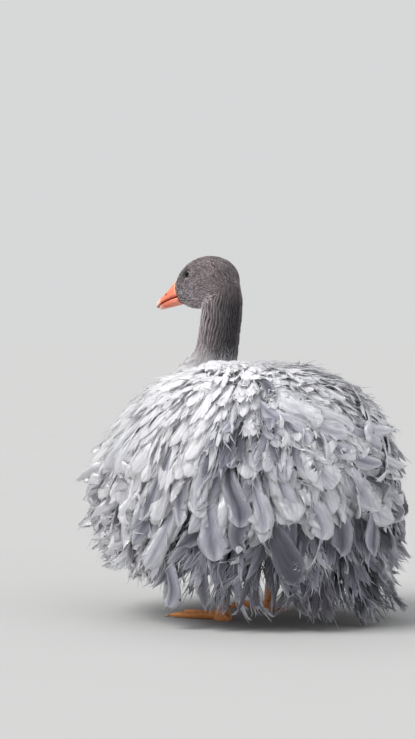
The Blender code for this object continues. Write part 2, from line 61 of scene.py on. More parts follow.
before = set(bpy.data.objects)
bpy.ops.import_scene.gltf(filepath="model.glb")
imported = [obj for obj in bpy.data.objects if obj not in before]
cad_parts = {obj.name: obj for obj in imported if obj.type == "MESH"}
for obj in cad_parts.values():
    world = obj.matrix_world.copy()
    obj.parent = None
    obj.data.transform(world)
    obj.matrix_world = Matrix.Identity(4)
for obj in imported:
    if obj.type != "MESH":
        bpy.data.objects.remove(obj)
cad_low, cad_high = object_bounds()

# The head's own axes run forward along the bill, to the left and up
EYE_FORWARD, EYE_UP = 0.0372, 0.0249
HEAD_YAW, HEAD_PITCH = 19.0, 16.0
BILL_BASE = 0.067
SHELL_TO_HEAD = Vector((0.003, -0.043, 0.452))


def middle_of(node):
    """The middle of a CAD node's box."""
    low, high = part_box(node)
    return (low + high) / 2


def head_axes():
    """The head's matrix, worked out from where the eyes are."""
    yaw = Matrix.Rotation(math.radians(HEAD_YAW - 90), 4, "Z")
    turn = yaw @ Matrix.Rotation(math.radians(HEAD_PITCH), 4, "Y")
    between = (middle_of("eye_left") + middle_of("eye_right")) / 2
    place = between - turn @ Vector((EYE_FORWARD, 0, EYE_UP))
    return Matrix.Translation(place) @ turn


HEAD = head_axes()
SHIFT = np.array(HEAD.translation - SHELL_TO_HEAD)


class CoatSettings(bpy.types.PropertyGroup):
    back_height: bpy.props.FloatProperty(
        name="Back height", description="Top of the coat", default=0.352, unit="LENGTH")
    half_width: bpy.props.FloatProperty(
        name="Half width", description="Half the coat's width", default=0.188, unit="LENGTH")
    half_length: bpy.props.FloatProperty(
        name="Half length", description="Half the coat's length", default=0.232, unit="LENGTH")
    seed: bpy.props.IntProperty(name="Seed", description="Draw of the feathers", default=7)


class ColourSettings(bpy.types.PropertyGroup):
    white: bpy.props.FloatVectorProperty(
        name="White", description="White plumage", default=(0.935, 0.935, 0.98), subtype="COLOR")
    lavender: bpy.props.FloatVectorProperty(
        name="Lavender grey", description="Grey plumage", default=(0.335, 0.34, 0.42), subtype="COLOR")
    charcoal: bpy.props.FloatVectorProperty(
        name="Charcoal", description="Darkest plumage", default=(0.035, 0.033, 0.038), subtype="COLOR")
    brown: bpy.props.FloatVectorProperty(
        name="Brown grey", description="Head plumage", default=(0.245, 0.20, 0.205), subtype="COLOR")
    bill: bpy.props.FloatVectorProperty(
        name="Bill", description="Horn of the bill", default=(0.80, 0.215, 0.125), subtype="COLOR")
    leg: bpy.props.FloatVectorProperty(
        name="Leg", description="Skin of the legs and feet", default=(0.86, 0.33, 0.10), subtype="COLOR")


class HeadSettings(bpy.types.PropertyGroup):
    feathers: bpy.props.IntProperty(
        name="Feathers", description="Short feathers laid over the head", default=6600)
    feather_length: bpy.props.FloatProperty(
        name="Feather length", description="Length of a feather on the cheek", default=0.0082, unit="LENGTH")
    ridges: bpy.props.IntProperty(
        name="Ridges", description="Ridges of feathers round the neck", default=36)
    ridge_height: bpy.props.FloatProperty(
        name="Ridge height", description="Height of the neck's ridges over the skin", default=0.0026,
        unit="LENGTH")


# The coat's outline: where it is widest, its hem and how full its shoulders are, behind and in front
BODY_MIDDLE_Y = 0.005
REAR_WIDEST_HEIGHT, FRONT_WIDEST_HEIGHT = 0.182, 0.152
REAR_HEM_HEIGHT, FRONT_HEM_HEIGHT = 0.016, 0.091
REAR_SHOULDER, FRONT_SHOULDER = 0.74, 1.27
HEM_FALL, HEM_TUCK = 0.86, 0.11
# The flesh under it
CORE_HALF_WIDTH, CORE_HALF_LENGTH, CORE_HALF_DEPTH = 0.112, 0.165, 0.102
CORE_HEIGHT, CORE_TILT, CORE_TAPER = 0.230, 0.10, 0.22
FLOOR_CLEARANCE = 0.003


def core_points(turn, fall, grown=0.0):
    """Places on the flesh."""
    across = np.sin(np.pi * fall)
    side, ahead = np.sin(np.radians(turn)), np.cos(np.radians(turn))
    back = -across * ahead
    width = (CORE_HALF_WIDTH + grown) * (1 - CORE_TAPER * np.maximum(0, back))
    y = (CORE_HALF_LENGTH + grown) * back
    z = CORE_HEIGHT + (CORE_HALF_DEPTH + grown) * np.cos(np.pi * fall) - CORE_TILT * y
    return np.stack([width * across * side, BODY_MIDDLE_Y + y, z], -1) + SHIFT


def coat_points(turn, fall):
    """Places on the outline that the feather tips reach."""
    coat = bpy.context.scene.goose_coat
    side, ahead = np.sin(np.radians(turn)), np.cos(np.radians(turn))
    front = (1 + ahead) / 2
    widest = REAR_WIDEST_HEIGHT + (FRONT_WIDEST_HEIGHT - REAR_WIDEST_HEIGHT) * front
    shoulder = REAR_SHOULDER + (FRONT_SHOULDER - REAR_SHOULDER) * front
    above = np.sin(np.pi * np.clip(fall, 0, 0.5)) ** shoulder
    drop = np.maximum(fall - 0.5, 0) / (HEM_FALL - 0.5)
    hem = REAR_HEM_HEIGHT + (FRONT_HEM_HEIGHT - REAR_HEM_HEIGHT) * front**1.5
    spread = np.where(fall < 0.5, above, 1 - HEM_TUCK * drop**2)
    high = widest + (coat.back_height - widest) * np.cos(np.pi * np.clip(fall, 0, 0.5))
    z = np.where(fall < 0.5, high, widest - (widest - hem) * drop)
    x = coat.half_width * spread * side
    y = BODY_MIDDLE_Y - coat.half_length * spread * ahead
    return np.stack([x, y, z], -1) + SHIFT


def shell_points(turn, fall, lift):
    """Places in the shell between the flesh and the outline of the feather tips."""
    core = core_points(turn, fall)
    return core + (coat_points(turn, fall) - core) * np.asarray(lift)[..., None]


def unit(vectors):
    """Vectors of length one."""
    return vectors / np.maximum(np.linalg.norm(vectors, axis=-1, keepdims=True), 1e-9)


def outward(turn, fall):
    """Which way the shell leads out from the flesh."""
    return unit(coat_points(turn, fall) - core_points(turn, fall))


# Shares across and heights of a vane's section, over its outer face and back under it
BROAD = (np.array([-1, -0.5, 0, 0.5, 1, 0]), np.array([0, 1, 1.4, 1, 0, -1]))
NARROW = (np.array([-1, 0, 1, 0]), np.array([0, 1, 0, -1]))
STRAND = (np.array([-1, 1, 0]), np.array([0.3, 0.3, -1]))

# Half widths along a feather, as shares
PLUME = [
    (0, 0.25), (0.12, 0.62), (0.35, 0.98), (0.62, 1.0), (0.82, 0.82), (0.93, 0.54), (0.98, 0.28), (1, 0.06),
]
TONGUE = [(0, 0.30), (0.2, 0.68), (0.5, 0.95), (0.78, 1.0), (0.9, 0.90), (0.97, 0.60), (1, 0.16)]
WISP = [(0, 0.7), (0.3, 1.0), (0.7, 0.7), (1, 0.08)]

# The side of a feather's patch on the unwrap, how far shading follows the coat's own shape, and how far
# feathers may pass the solids' box, in metres
PATCH_SIZE = 0.003
SOFTNESS = 0.65
OVERHANG = 0.007


def profile(shape, share):
    """The half width, as a share, at shares along a feather."""
    shares, widths = zip(*shape)
    return np.interp(share, shares, widths)


def kept_near(points):
    """Points eased back to a little past the solids' box, and above the floor."""
    low, high = np.array(cad_low), np.array(cad_high)
    over, under = np.maximum(points - high, 0), np.maximum(low - points, 0)
    points = np.clip(points, low, high) + OVERHANG * (np.tanh(over / OVERHANG) - np.tanh(under / OVERHANG))
    points[..., 2] = np.maximum(points[..., 2], FLOOR_CLEARANCE)
    return points


def stations_of(count):
    """Shares along a feather, closer together towards the tip."""
    return 1 - (1 - np.linspace(0, 1, count)) ** 1.3


def bent(path, out, start, rise, hook):
    """Paths whose far ends roll outwards by rise and sideways by hook, in degrees at the tip."""
    steps = np.diff(path, axis=1)
    share = (stations_of(path.shape[1])[1:] - start) / (1 - start)
    amount = np.clip(share, 0, 1) ** 1.4
    ahead, up = unit(steps), out[:, 1:]
    across = unit(np.cross(ahead, up))
    up = np.cross(across, ahead)
    roll, turn = np.radians(rise)[:, None] * amount, np.radians(hook)[:, None] * amount
    flat = ahead * np.cos(turn)[..., None] + across * np.sin(turn)[..., None]
    turned = flat * np.cos(roll)[..., None] + up * np.sin(roll)[..., None]
    steps = turned * np.linalg.norm(steps, axis=-1, keepdims=True)
    return np.concatenate([path[:, :1], path[:, :1] + np.cumsum(steps, axis=1)], axis=1)


class Quills:
    """Feather shafts with the curved, rippled surface that their vanes and barbs lie on."""

    def __init__(self, rng, path, out, half_width, shape, twist, droop, ripple):
        count, stations = path.shape[:2]
        self.count, self.path, self.shape, self.out = count, path, shape, out
        self.half, self.droop, self.ripple = half_width, droop, ripple
        self.length = np.linalg.norm(np.diff(path, axis=1), axis=-1).sum(1)
        ahead = unit(np.gradient(path, axis=1))
        across = unit(np.cross(ahead, out))
        up = np.cross(across, ahead)
        angle = np.radians(twist)[:, None] * stations_of(stations) ** 1.6
        c, d = np.cos(angle)[..., None], np.sin(angle)[..., None]
        self.across, self.up = across * c + up * d, up * c - across * d
        self.waves = rng.uniform(1.2, 2.6, count)
        self.phase = rng.uniform(0, 6, count)
        self.side_phase = rng.uniform(1, 5, count)

    def read(self, values, which, along):
        """Values at shares along quills, past their ends too."""
        rooted = np.where(along < 1, 1 - np.clip(1 - along, 0, 1) ** (1 / 1.3), along)
        at = np.maximum(rooted, 0) * (values.shape[1] - 1)
        i = np.minimum(at.astype(int), values.shape[1] - 2)
        t = (at - i)[..., None]
        return values[which, i] * (1 - t) + values[which, i + 1] * t

    def surface(self, which, along, across, least=0.0):
        """Places on the vanes' surface at shares along and across, and the way that it faces."""
        half = self.half[which] * np.maximum(profile(self.shape, along), least)
        up = unit(self.read(self.up, which, along))
        phase = self.phase[which] + (across > 0) * self.side_phase[which]
        wave = np.sin(2 * math.pi * self.waves[which] * along + phase)
        lifted = half * across**2 * (self.ripple * wave * np.clip(along, 0, 1) - self.droop[which])
        side = unit(self.read(self.across, which, along)) * (half * across)[..., None]
        return self.read(self.path, which, along) + side + up * lifted[..., None], up


class Plumage:
    """Collects closed vanes and barbs and makes one mesh of them."""

    def __init__(self, softness=SOFTNESS):
        self.points, self.faces, self.vane, self.patch, self.colour, self.facing = [], [], [], [], [], []
        self.total, self.softness = 0, softness

    def add(self, points, vane, colour, patch, facing):
        """Adds rings of points, joined along feathers, with their vane places, colours and unwrap roots."""
        count, stations, ring = points.shape[:3]
        first = self.total + np.arange(count)[:, None, None] * stations * ring
        step, k = np.arange(stations - 1)[:, None] * ring, np.arange(ring)
        a, b = first + step + k, first + step + (k + 1) % ring
        sides = np.stack([a, b, b + ring, a + ring], -1).reshape(-1, 4)
        start = (first[:, 0] + k[::-1]).reshape(count, ring)
        end = (first[:, 0] + (stations - 1) * ring + k).reshape(count, ring)
        self.faces += sides.tolist() + start.tolist() + end.tolist()
        self.points.append(kept_near(points.reshape(-1, 3)))
        self.vane.append(vane.reshape(-1, 2))
        self.facing.append(np.broadcast_to(facing, points.shape).reshape(-1, 3))
        self.patch.append((patch[:, None, None] + PATCH_SIZE * vane).reshape(-1, 2))
        self.colour.append(np.broadcast_to(colour, points.shape).reshape(-1, 3))
        self.total += count * stations * ring

    def make(self, name, material):
        """One mesh object of all that was added."""
        mesh = bpy.data.meshes.new(name)
        mesh.from_pydata(np.concatenate(self.points).tolist(), [], self.faces)
        corners = np.zeros(len(mesh.loops), int)
        mesh.loops.foreach_get("vertex_index", corners)
        for layer, values in (("OFBake", self.patch), ("Vane", self.vane)):
            made = mesh.uv_layers.new(name=layer)
            made.data.foreach_set("uv", np.concatenate(values)[corners].ravel())
        paint(mesh, np.concatenate(self.colour))
        obj = bpy.data.objects.new(name, mesh)
        bpy.context.scene.collection.objects.link(obj)
        mesh.polygons.foreach_set("use_smooth", np.ones(len(mesh.polygons), bool))
        own = np.zeros(len(mesh.vertices) * 3)
        mesh.vertices.foreach_get("normal", own)
        facing = np.concatenate(self.facing)
        own = own.reshape(-1, 3)
        under = np.sign((own * facing).sum(1) + 0.35)[:, None]
        softened = own * (1 - self.softness) + facing * under * self.softness
        mesh.normals_split_custom_set_from_vertices(unit(softened))
        mesh.materials.append(material)
        return obj


def paint(mesh, colours):
    """Stores a colour for each point of a mesh."""
    tint = mesh.attributes.new("plumage", "FLOAT_COLOR", "POINT")
    tint.data.foreach_set("color", np.concatenate([colours, np.ones((len(colours), 1))], 1).ravel())


def ringed(path, up, half_width, thickness, section):
    """Rings of points across paths that face up."""
    share, height = section
    ahead = unit(np.gradient(path, axis=1))
    across = unit(np.cross(ahead, up))
    up = np.cross(across, ahead)
    side = across[:, :, None] * (half_width[..., None] * share)[..., None]
    return path[:, :, None] + side + up[:, :, None] * (thickness[..., None] * height / 2)[..., None]


def add_vanes(rng, plumage, quills, tint, patch, stations, section, thickness, width_share, fray):
    """The middle of each feather, closed, with torn edges."""
    count, ring = quills.count, section[0].size
    which = np.broadcast_to(np.arange(count)[:, None, None], (count, stations, ring))
    s = stations_of(stations)[None, :, None]
    edge = np.abs(section[0]) == 1
    in_and_out = np.where(np.arange(stations) % 2 == 1, 1.0, -0.6)[:, None]
    tooth = in_and_out * rng.uniform(0.3, 1, (count, stations, ring)) * edge
    along = s + 0.035 * tooth * (s > 0) * (s < 1)
    across = section[0] * width_share * (1 + fray * tooth)
    points, up = quills.surface(which, along, across)
    thin = thickness * (1 - 0.6 * s) * section[1] / 2
    points = points + up * thin[..., None]
    vane = np.stack([0.5 + 0.5 * across, np.broadcast_to(s, across.shape)], -1)
    plumage.add(points, vane, tint(which, along, across), patch, quills.out[:, :, None])


def add_barbs(rng, plumage, quills, tint, patch, per_vane, width, stations, start_at, reach, slant, clumps,
              loose=0.0):
    """Barbs that leave the shafts at a slant and curve towards the tips, in clumps with gaps between."""
    which = np.repeat(np.arange(quills.count), per_vane)
    total = len(which)
    side = rng.choice([-1, 1], total)
    clump = rng.integers(0, clumps, total) / clumps
    start = np.clip(0.04 + 0.92 * (clump + rng.normal(0.5, 0.27, total) / clumps), 0.02, 0.97)
    first = rng.uniform(*start_at, total)
    last = rng.uniform(*reach, total) * (1 + 0.1 * np.sin(40 * clump + which))
    run = slant * (last - first) * quills.half[which] / quills.length[which] * rng.uniform(0.8, 1.25, total)
    t = np.linspace(0, 1, stations)
    along = start[:, None] + run[:, None] * (t + 0.35 * t**2) / 1.35
    across = side[:, None] * (first[:, None] + (last - first)[:, None] * t**0.8)
    spread = np.broadcast_to(which[:, None], along.shape)
    path, up = quills.surface(spread, along, across, 0.35)
    size = (quills.half[which] * (last - first))[:, None] * t**1.5
    lifted = rng.uniform(-0.0006, 0.0012, total)[:, None] + rng.normal(0, 0.16 + loose, total)[:, None] * size
    path = path + up * lifted[..., None]
    path[..., 2] -= loose * size
    half = width * rng.uniform(0.6, 1.25, total)[:, None] * profile(WISP, t)
    points = ringed(path, up, half, 0.7 * half, STRAND)
    vane = np.stack([np.clip(0.5 + 0.5 * across, 0, 1), np.clip(along, 0, 1)], -1)
    vane = np.broadcast_to(vane[:, :, None], (*points.shape[:3], 2))
    colour = tint(spread, along, across) * rng.uniform(0.86, 1.07, (total, 1, 1))
    facing = quills.read(quills.out, spread, along)
    plumage.add(points, vane, np.clip(colour, 0, 0.97)[:, :, None], patch[which], facing[:, :, None])


def add_shafts(plumage, quills, tint, patch, width, stations=8):
    """The horny shafts, raised along the middle of the feathers."""
    which = np.broadcast_to(np.arange(quills.count)[:, None], (quills.count, stations))
    along = np.broadcast_to(np.linspace(0.02, 0.93, stations), which.shape)
    path, up = quills.surface(which, along, np.zeros(which.shape))
    half = np.broadcast_to(width * (1.1 - np.linspace(0, 1, stations)), which.shape)
    points = ringed(path + 0.0006 * up, up, half, 1.4 * half, NARROW)
    vane = np.stack([np.full(which.shape, 0.5), along], -1)
    vane = np.broadcast_to(vane[:, :, None], (*points.shape[:3], 2))
    plumage.add(points, vane, tint(which, along, np.zeros(which.shape))[:, :, None], patch,
                quills.read(quills.out, which, along)[:, :, None])


def select_only(obj):
    """Makes one object the only selected and the active one."""
    bpy.ops.object.select_all(action="DESELECT")
    obj.select_set(True)
    bpy.context.view_layer.objects.active = obj


def dressed(obj, slot, *nodes):
    """Hands a finished piece to the frame."""
    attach(obj, "root")
    if nodes:
        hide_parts(*nodes)
    return obj


def mixed(a, b, amount):
    """Colours between a and b."""
    amount = np.asarray(amount)[..., None]
    return np.asarray(a) * (1 - amount) + np.asarray(b) * amount


def hill(value, middle, spread):
    """One at the middle, falling smoothly to nothing."""
    return np.exp(-(((value - middle) / spread) ** 2))


# Grey places of the coat: turn, fall, their spreads and how grey they are. Both flanks are alike. The
# first is the streaked tract down the flank, the second painted shade in the parting beside it, and the
# fourth the rear belly, its grey down darkened further with painted shade under the body.
GREY_PLACES = [
    (131, 0.38, 8, 0.10, 1.30),
    (146, 0.27, 4, 0.08, 1.00),
    (168, 0.38, 22, 0.10, 0.16),
    (158, 0.78, 18, 0.11, 0.85),
    (112, 0.56, 18, 0.07, 0.22),
    (188, 0.74, 14, 0.14, 0.35),
]


def grey_share(turn, fall):
    """How grey the coat is at a place, from 0 for white to 1 for charcoal."""
    turn = np.abs((np.asarray(turn, float) + 180) % 360 - 180)
    # Greyer low on the flank and towards the tail: partly grey plumage, partly painted shade
    grey = 0.01 + 0.56 * np.clip((fall - 0.44) / 0.3, 0, 1) * np.clip((turn - 92) / 30, 0.1, 1)
    for middle, height, wide, deep, amount in GREY_PLACES:
        grey = grey + amount * hill(turn, middle, wide) * hill(fall, height, deep)
    locks = 0.5 + 0.5 * np.sin(0.55 * turn + 6 * fall) * np.sin(0.23 * turn - 11 * fall + 2)
    return np.clip(grey * (0.25 + 1.5 * locks), 0, 1)


# Painted shade that every feather low on the flank and towards the tail shares
LOW_PAINTED_SHADE = 0.20


def coat_tint(rng, turn, fall, margin=0.65, dark_share=0.1, grey=0.0, line=0.25):
    """A function for the colours of feathers, greyer down the middle, with a white margin and tip, and
    painted shade low on the flank and at the roots.
    """
    colours = bpy.context.scene.goose_colours
    count = len(turn)
    own = grey_share(turn, fall) * rng.uniform(0.4, 1.6, count) + grey
    # Painted shade: a share of feathers made darker at random, for the dark gaps between feathers
    own = own + np.where(rng.uniform(0, 1, count) < dark_share, 0.25, 0)
    round_turn = np.abs((turn + 180) % 360 - 180)
    # Painted shade, deeper low on the flank and towards the tail
    shaded = LOW_PAINTED_SHADE * np.clip((fall - 0.44) / 0.3, 0, 1) * np.clip((round_turn - 88) / 30, 0.1, 1)

    def tint(which, along, across):
        """The colours at places on the vanes."""
        middle = 1 - margin * np.clip(np.abs(across), 0, 1) ** 1.5
        tip = 1 - 0.45 * np.clip((along - 0.82) / 0.18, 0, 1)
        # Painted shade: a little darker towards each root, where it lies under other feathers, and the
        # painted shade low on the flank
        rooted = 0.05 * np.clip(1 - along, 0, 1) ** 2 + shaded[which]
        dark = np.clip(own[which] * (middle * tip * 1.25 + line * (across == 0)) + rooted, 0, 1)
        pale = mixed(colours.white, colours.lavender, np.clip(dark * 1.7, 0, 1))
        return mixed(pale, colours.charcoal, np.clip((dark - 0.50) * 1.5, 0, 1))

    return tint


def body_patch(turn, fall):
    """Where places on the body are on its unwrap."""
    return np.stack([0.02 + 0.95 * ((turn % 360) / 360), 0.02 + 0.95 * np.clip(fall, 0, 1)], -1)


def lumps(turn, fall):
    """Slow rises and hollows of the coat."""
    turn = np.radians(turn)
    return np.sin(5 * turn + 9 * fall) * np.sin(11 * fall - 3 * turn + 1) + 0.6 * np.sin(13 * turn - 7 * fall)


def swirl(turn, fall):
    """Which way neighbouring feathers lean together."""
    turn = np.radians(turn)
    return np.sin(4 * turn + 12 * fall + 1) * np.cos(7 * fall - 3 * turn) + 0.7 * np.sin(9 * turn + 5 * fall)


# How feathers are made: the share of the width that is closed vane, its section and frayed edge, the barbs
# on each feather and their width, where they start and end across it, their slant, and the clumps that
# they lie in
SMOOTH = dict(core=0.93, section=BROAD, fray=0.02, barbs=20, barb_width=0.0006, start_at=(0.5, 0.85),
              barb_reach=(0.96, 1.10), slant=2.4, clumps=7)
SILKY = dict(core=0.84, section=BROAD, fray=0.04, barbs=20, barb_width=0.0007, start_at=(0.4, 0.75),
             barb_reach=(0.9, 1.16), slant=3.0, clumps=6)
WOOLLY = dict(core=0.74, section=BROAD, fray=0.05, barbs=26, barb_width=0.0007, start_at=(0.3, 0.7),
              barb_reach=(0.85, 1.25), slant=3.4, clumps=7)
RAGGED = dict(core=0.50, section=BROAD, fray=0.12, barbs=36, barb_width=0.0008, start_at=(0.02, 0.3),
              barb_reach=(0.6, 1.2), slant=1.9, clumps=5)


def vanes_and_barbs(rng, plumage, quills, tint, patch, made, stations, thickness, barb_stations=3, loose=0.0):
    """Feathers of one make, without their shafts."""
    add_vanes(rng, plumage, quills, tint, patch, stations, made["section"], thickness, made["core"],
              made["fray"])
    add_barbs(rng, plumage, quills, tint, patch, made["barbs"], made["barb_width"], barb_stations,
              made["start_at"], made["barb_reach"], made["slant"], made["clumps"], loose)


def lay(rng, plumage, start, end, half_width, made, full=1.0, stations=14, shape=PLUME, wild=0.5, root=0.0,
        bed=0.88, rise=0.0, hook=0.0, arch=0.0, barb_stations=3, loose=0.0, margin=0.65, dark_share=0.06,
        grey=0.0, shaft=0.0, line=0.25, thickness=0.0006):
    """Feathers from starts to ends, each a turn and a fall. Wilder ones wave, curl and twist more."""
    turn, fall = (np.asarray(value, float) for value in start)
    count, s = len(turn), stations_of(stations)
    tip = np.clip((s - 0.62) / 0.38, 0, 1)
    draw = lambda low, high: rng.uniform(low, high, count)[:, None]
    wave, curl = 4.0 * wild, wild * draw(0.1, 1)
    way = (end[0] - turn)[:, None] * s + draw(-wave, wave) * np.sin(2 * np.pi * s)
    at_turn = turn[:, None] + (way + draw(-2 * wave, 2 * wave) * tip**2)
    at_fall = fall[:, None] + (end[1] - fall)[:, None] * s - 0.05 * curl * tip**2
    full = (full * (1 + 0.045 * lumps(turn, fall)))[:, None] * (1 + wild * draw(-0.08, 0.03))
    root = np.broadcast_to(root, (count,))[:, None]
    lift = root + (full - root) * (bed * (1 - (1 - s) ** 2.8) + (1 - bed) * tip**1.5) + 0.09 * curl * tip**2
    lift = lift + np.broadcast_to(arch, (count,))[:, None] * np.sin(np.pi * s)
    path, out = shell_points(at_turn, at_fall, lift), outward(at_turn, at_fall)
    rise = rise + wild * rng.uniform(-4, 34, count)
    path = bent(path, out, 0.5, rise, hook + wild * rng.uniform(-40, 40, count))
    quills = Quills(rng, path, out, half_width * rng.uniform(0.8, 1.2, count), shape,
                    wild * rng.uniform(-55, 55, count), rng.uniform(0.3, 0.9, count) * 0.4, 0.5 * wild)
    tint = coat_tint(rng, 0.5 * (turn + end[0]), fall + 0.6 * (end[1] - fall), margin, dark_share, grey, line)
    patch = body_patch(turn, fall)
    vanes_and_barbs(rng, plumage, quills, tint, patch, made, stations, thickness, barb_stations, loose)
    if shaft:
        add_shafts(plumage, quills, tint, patch, shaft)


def coat(rng, plumage, turns, falls, count, last, half_width, made, reach=1.0, side=1, drift=5.0, lean=5.0,
         **looks):
    """Feathers spread between two turns and two falls, as long as their fall or out to the last one."""
    turn = side * (turns[0] + (turns[1] - turns[0]) * (np.arange(count) + rng.uniform(0, 1, count)) / count)
    fall = rng.uniform(*falls, count)
    ends = np.where(last < 0, fall - last * rng.uniform(0.7, 1.25, count),
                    last + rng.uniform(-0.06, 0.02, count))
    way = rng.uniform(-drift, drift, count) + lean * side * swirl(np.abs(turn), fall)
    lay(rng, plumage, (turn, fall), (turn + way, ends), half_width, made, reach * np.ones(count), **looks)


# Tips past this turn cross over the tail
PAST_TAIL = 179


def placed(rng, plumage, rows, side, made, **looks):
    """Single feathers of one flank, one row of a table each. Only the left flank's cross the tail."""
    rows = np.array([row for row in rows if side > 0 or row[2] < PAST_TAIL], float)
    rise, hook, grey, arch = rows[:, 5:9].T
    lay(rng, plumage, (side * rows[:, 0], rows[:, 1]), (side * rows[:, 2], rows[:, 3]), rows[:, 4], made,
        np.full(len(rows), 1.06), bed=0.96, rise=rise, hook=side * hook, grey=grey, arch=arch, **looks)


def saddle(rng, plumage, count=110):
    """Feathers that run back from the neck over the top of the back, where the other rows start."""
    settings, stations = bpy.context.scene.goose_coat, 10
    s = stations_of(stations)
    x, y = rng.uniform(-0.060, 0.060, count), rng.uniform(-0.045, 0.035, count)
    heading = np.radians(420 * x + rng.normal(0, 7, count))
    length = rng.uniform(0.055, 0.085, count)[:, None] * s
    across = (x[:, None] + np.sin(heading)[:, None] * length) / settings.half_width
    back = (y[:, None] + np.cos(heading)[:, None] * length - BODY_MIDDLE_Y) / settings.half_length
    turn = np.degrees(np.arctan2(across, -back))
    shoulder = REAR_SHOULDER + (FRONT_SHOULDER - REAR_SHOULDER) * (1 + np.cos(np.radians(turn))) / 2
    fall = np.arcsin(np.clip(np.hypot(across, back), 0, 1) ** (1 / shoulder)) / np.pi
    lift = np.interp(fall, (0, 0.05, 0.12, 0.2), (0.30, 0.55, 0.86, 0.97)) * (0.95 + 0.09 * s)
    path, out = shell_points(turn, fall, lift), outward(turn, fall)
    quills = Quills(rng, path, out, rng.uniform(0.007, 0.011, count), PLUME, rng.uniform(-14, 14, count),
                    rng.uniform(0.1, 0.3, count), 0.15)
    tint, patch = coat_tint(rng, turn[:, -1], fall[:, -1], dark_share=0), body_patch(turn[:, 0], fall[:, 0])
    vanes_and_barbs(rng, plumage, quills, tint, patch, WOOLLY, stations, 0.0004)


def node_material(name, roughness, sheen=0.0, specular=0.5):
    """A new material with its shader and node tree."""
    made = bpy.data.materials.new(name)
    made.use_nodes = True
    tree = made.node_tree
    shader = tree.nodes["Principled BSDF"]
    shader.inputs["Roughness"].default_value = roughness
    shader.inputs["Sheen Weight"].default_value = sheen
    shader.inputs["Sheen Roughness"].default_value = 0.5
    shader.inputs["Specular IOR Level"].default_value = specular
    return made, tree, shader


def node(tree, kind, inputs=None, **settings):
    """A new shader node, its inputs linked where they are given as sockets."""
    made = tree.nodes.new(kind)
    for key, value in settings.items():
        setattr(made, key, value)
    for key, value in (inputs or {}).items():
        if isinstance(value, bpy.types.NodeSocket):
            tree.links.new(value, made.inputs[key])
        else:
            made.inputs[key].default_value = value
    return made


def stored_colour(tree):
    """The colours stored on the mesh's points."""
    stored = node(tree, "ShaderNodeAttribute", attribute_name="plumage", attribute_type="GEOMETRY")
    return stored.outputs["Color"]


def own_place(tree):
    """Places in the object's own axes."""
    return node(tree, "ShaderNodeTexCoord").outputs["Object"]


def shaded(tree, shader, colour, pattern, limits, shades):
    """Colours darkened and lightened by a pattern, between its limits."""
    dim = node(tree, "ShaderNodeMapRange", {"Value": pattern, "From Min": limits[0], "From Max": limits[1],
                                            "To Min": shades[0], "To Max": shades[1]})
    scaled = node(tree, "ShaderNodeVectorMath", {0: colour, 3: dim.outputs[0]}, operation="SCALE")
    tree.links.new(scaled.outputs[0], shader.inputs["Base Color"])


def bumped(tree, shader, pattern, strength, distance, sunk=False):
    """A surface raised by a pattern, or sunk."""
    bump = node(tree, "ShaderNodeBump", {"Height": pattern, "Strength": strength, "Distance": distance},
                invert=sunk)
    tree.links.new(bump.outputs[0], shader.inputs["Normal"])


def noise(tree, place, scale, detail=2.0, roughness=0.5):
    """A cloudy pattern."""
    settings = {"Vector": place, "Scale": scale, "Detail": detail, "Roughness": roughness}
    return node(tree, "ShaderNodeTexNoise", settings).outputs["Fac"]


def plumage_material(name, streak=0.24, barb_bump=0.30):
    """Feather with streaks along the barbs, tinted by the mesh's colours. It lets some light through."""
    made, tree, shader = node_material(name, 0.9, 0.25, 0.08)
    shader.inputs["Subsurface Weight"].default_value = 0.35
    shader.inputs["Subsurface Radius"].default_value = (1.0, 1.0, 1.0)
    shader.inputs["Subsurface Scale"].default_value = 0.004
    vane = node(tree, "ShaderNodeUVMap", uv_map="Vane")
    apart = node(tree, "ShaderNodeSeparateXYZ", {"Vector": vane.outputs["UV"]})
    middle = node(tree, "ShaderNodeMath", {0: apart.outputs["X"], 1: 0.5}, operation="SUBTRACT")
    outer = node(tree, "ShaderNodeMath", {0: middle.outputs[0]}, operation="ABSOLUTE")
    slant = node(tree, "ShaderNodeMath", {0: outer.outputs[0], 1: -0.55, 2: apart.outputs["Y"]},
                 operation="MULTIPLY_ADD")
    across = node(tree, "ShaderNodeCombineXYZ", {"X": apart.outputs["X"], "Y": slant.outputs[0]}).outputs[0]
    wide = node(tree, "ShaderNodeVectorMath", {0: across, 1: (5.0, 2.0, 0.0)},
                operation="MULTIPLY").outputs[0]
    spread = node(tree, "ShaderNodeVectorMath", {0: own_place(tree), 1: (14.0, 14.0, 14.0), 2: wide},
                  operation="MULTIPLY_ADD").outputs[0]
    shaded(tree, shader, stored_colour(tree), noise(tree, spread, 2.2, 4.0, 0.6), (0.35, 0.65),
           (1.0 - streak, 1.08))
    fine = node(tree, "ShaderNodeVectorMath", {0: across, 1: (3.0, 55.0, 0.0)},
                operation="MULTIPLY").outputs[0]
    bumped(tree, shader, noise(tree, fine, 1.0, 3.0, 0.7), barb_bump, 0.0012)
    return made


def scaled_skin_material():
    """Orange skin in small round scales, tinted by the mesh's own colours."""
    made, tree, shader = node_material("goose_scaled_skin", 0.5, 0.0, 0.4)
    scales = node(tree, "ShaderNodeTexVoronoi", {"Vector": own_place(tree), "Scale": 620.0})
    scales = scales.outputs["Distance"]
    shaded(tree, shader, stored_colour(tree), scales, (0.2, 0.75), (1.08, 0.80))
    bumped(tree, shader, scales, 0.35, 0.0005, sunk=True)
    return made


def skin_material(name="goose_skin"):
    """Down and skin under the feathers, tinted by the mesh's own colours."""
    made, tree, shader = node_material(name, 0.85, 0.2, 0.2)
    fluff = noise(tree, own_place(tree), 420.0, 3.0)
    shaded(tree, shader, stored_colour(tree), fluff, (0.3, 0.7), (0.65, 1.15))
    bumped(tree, shader, fluff, 0.5, 0.001)
    return made


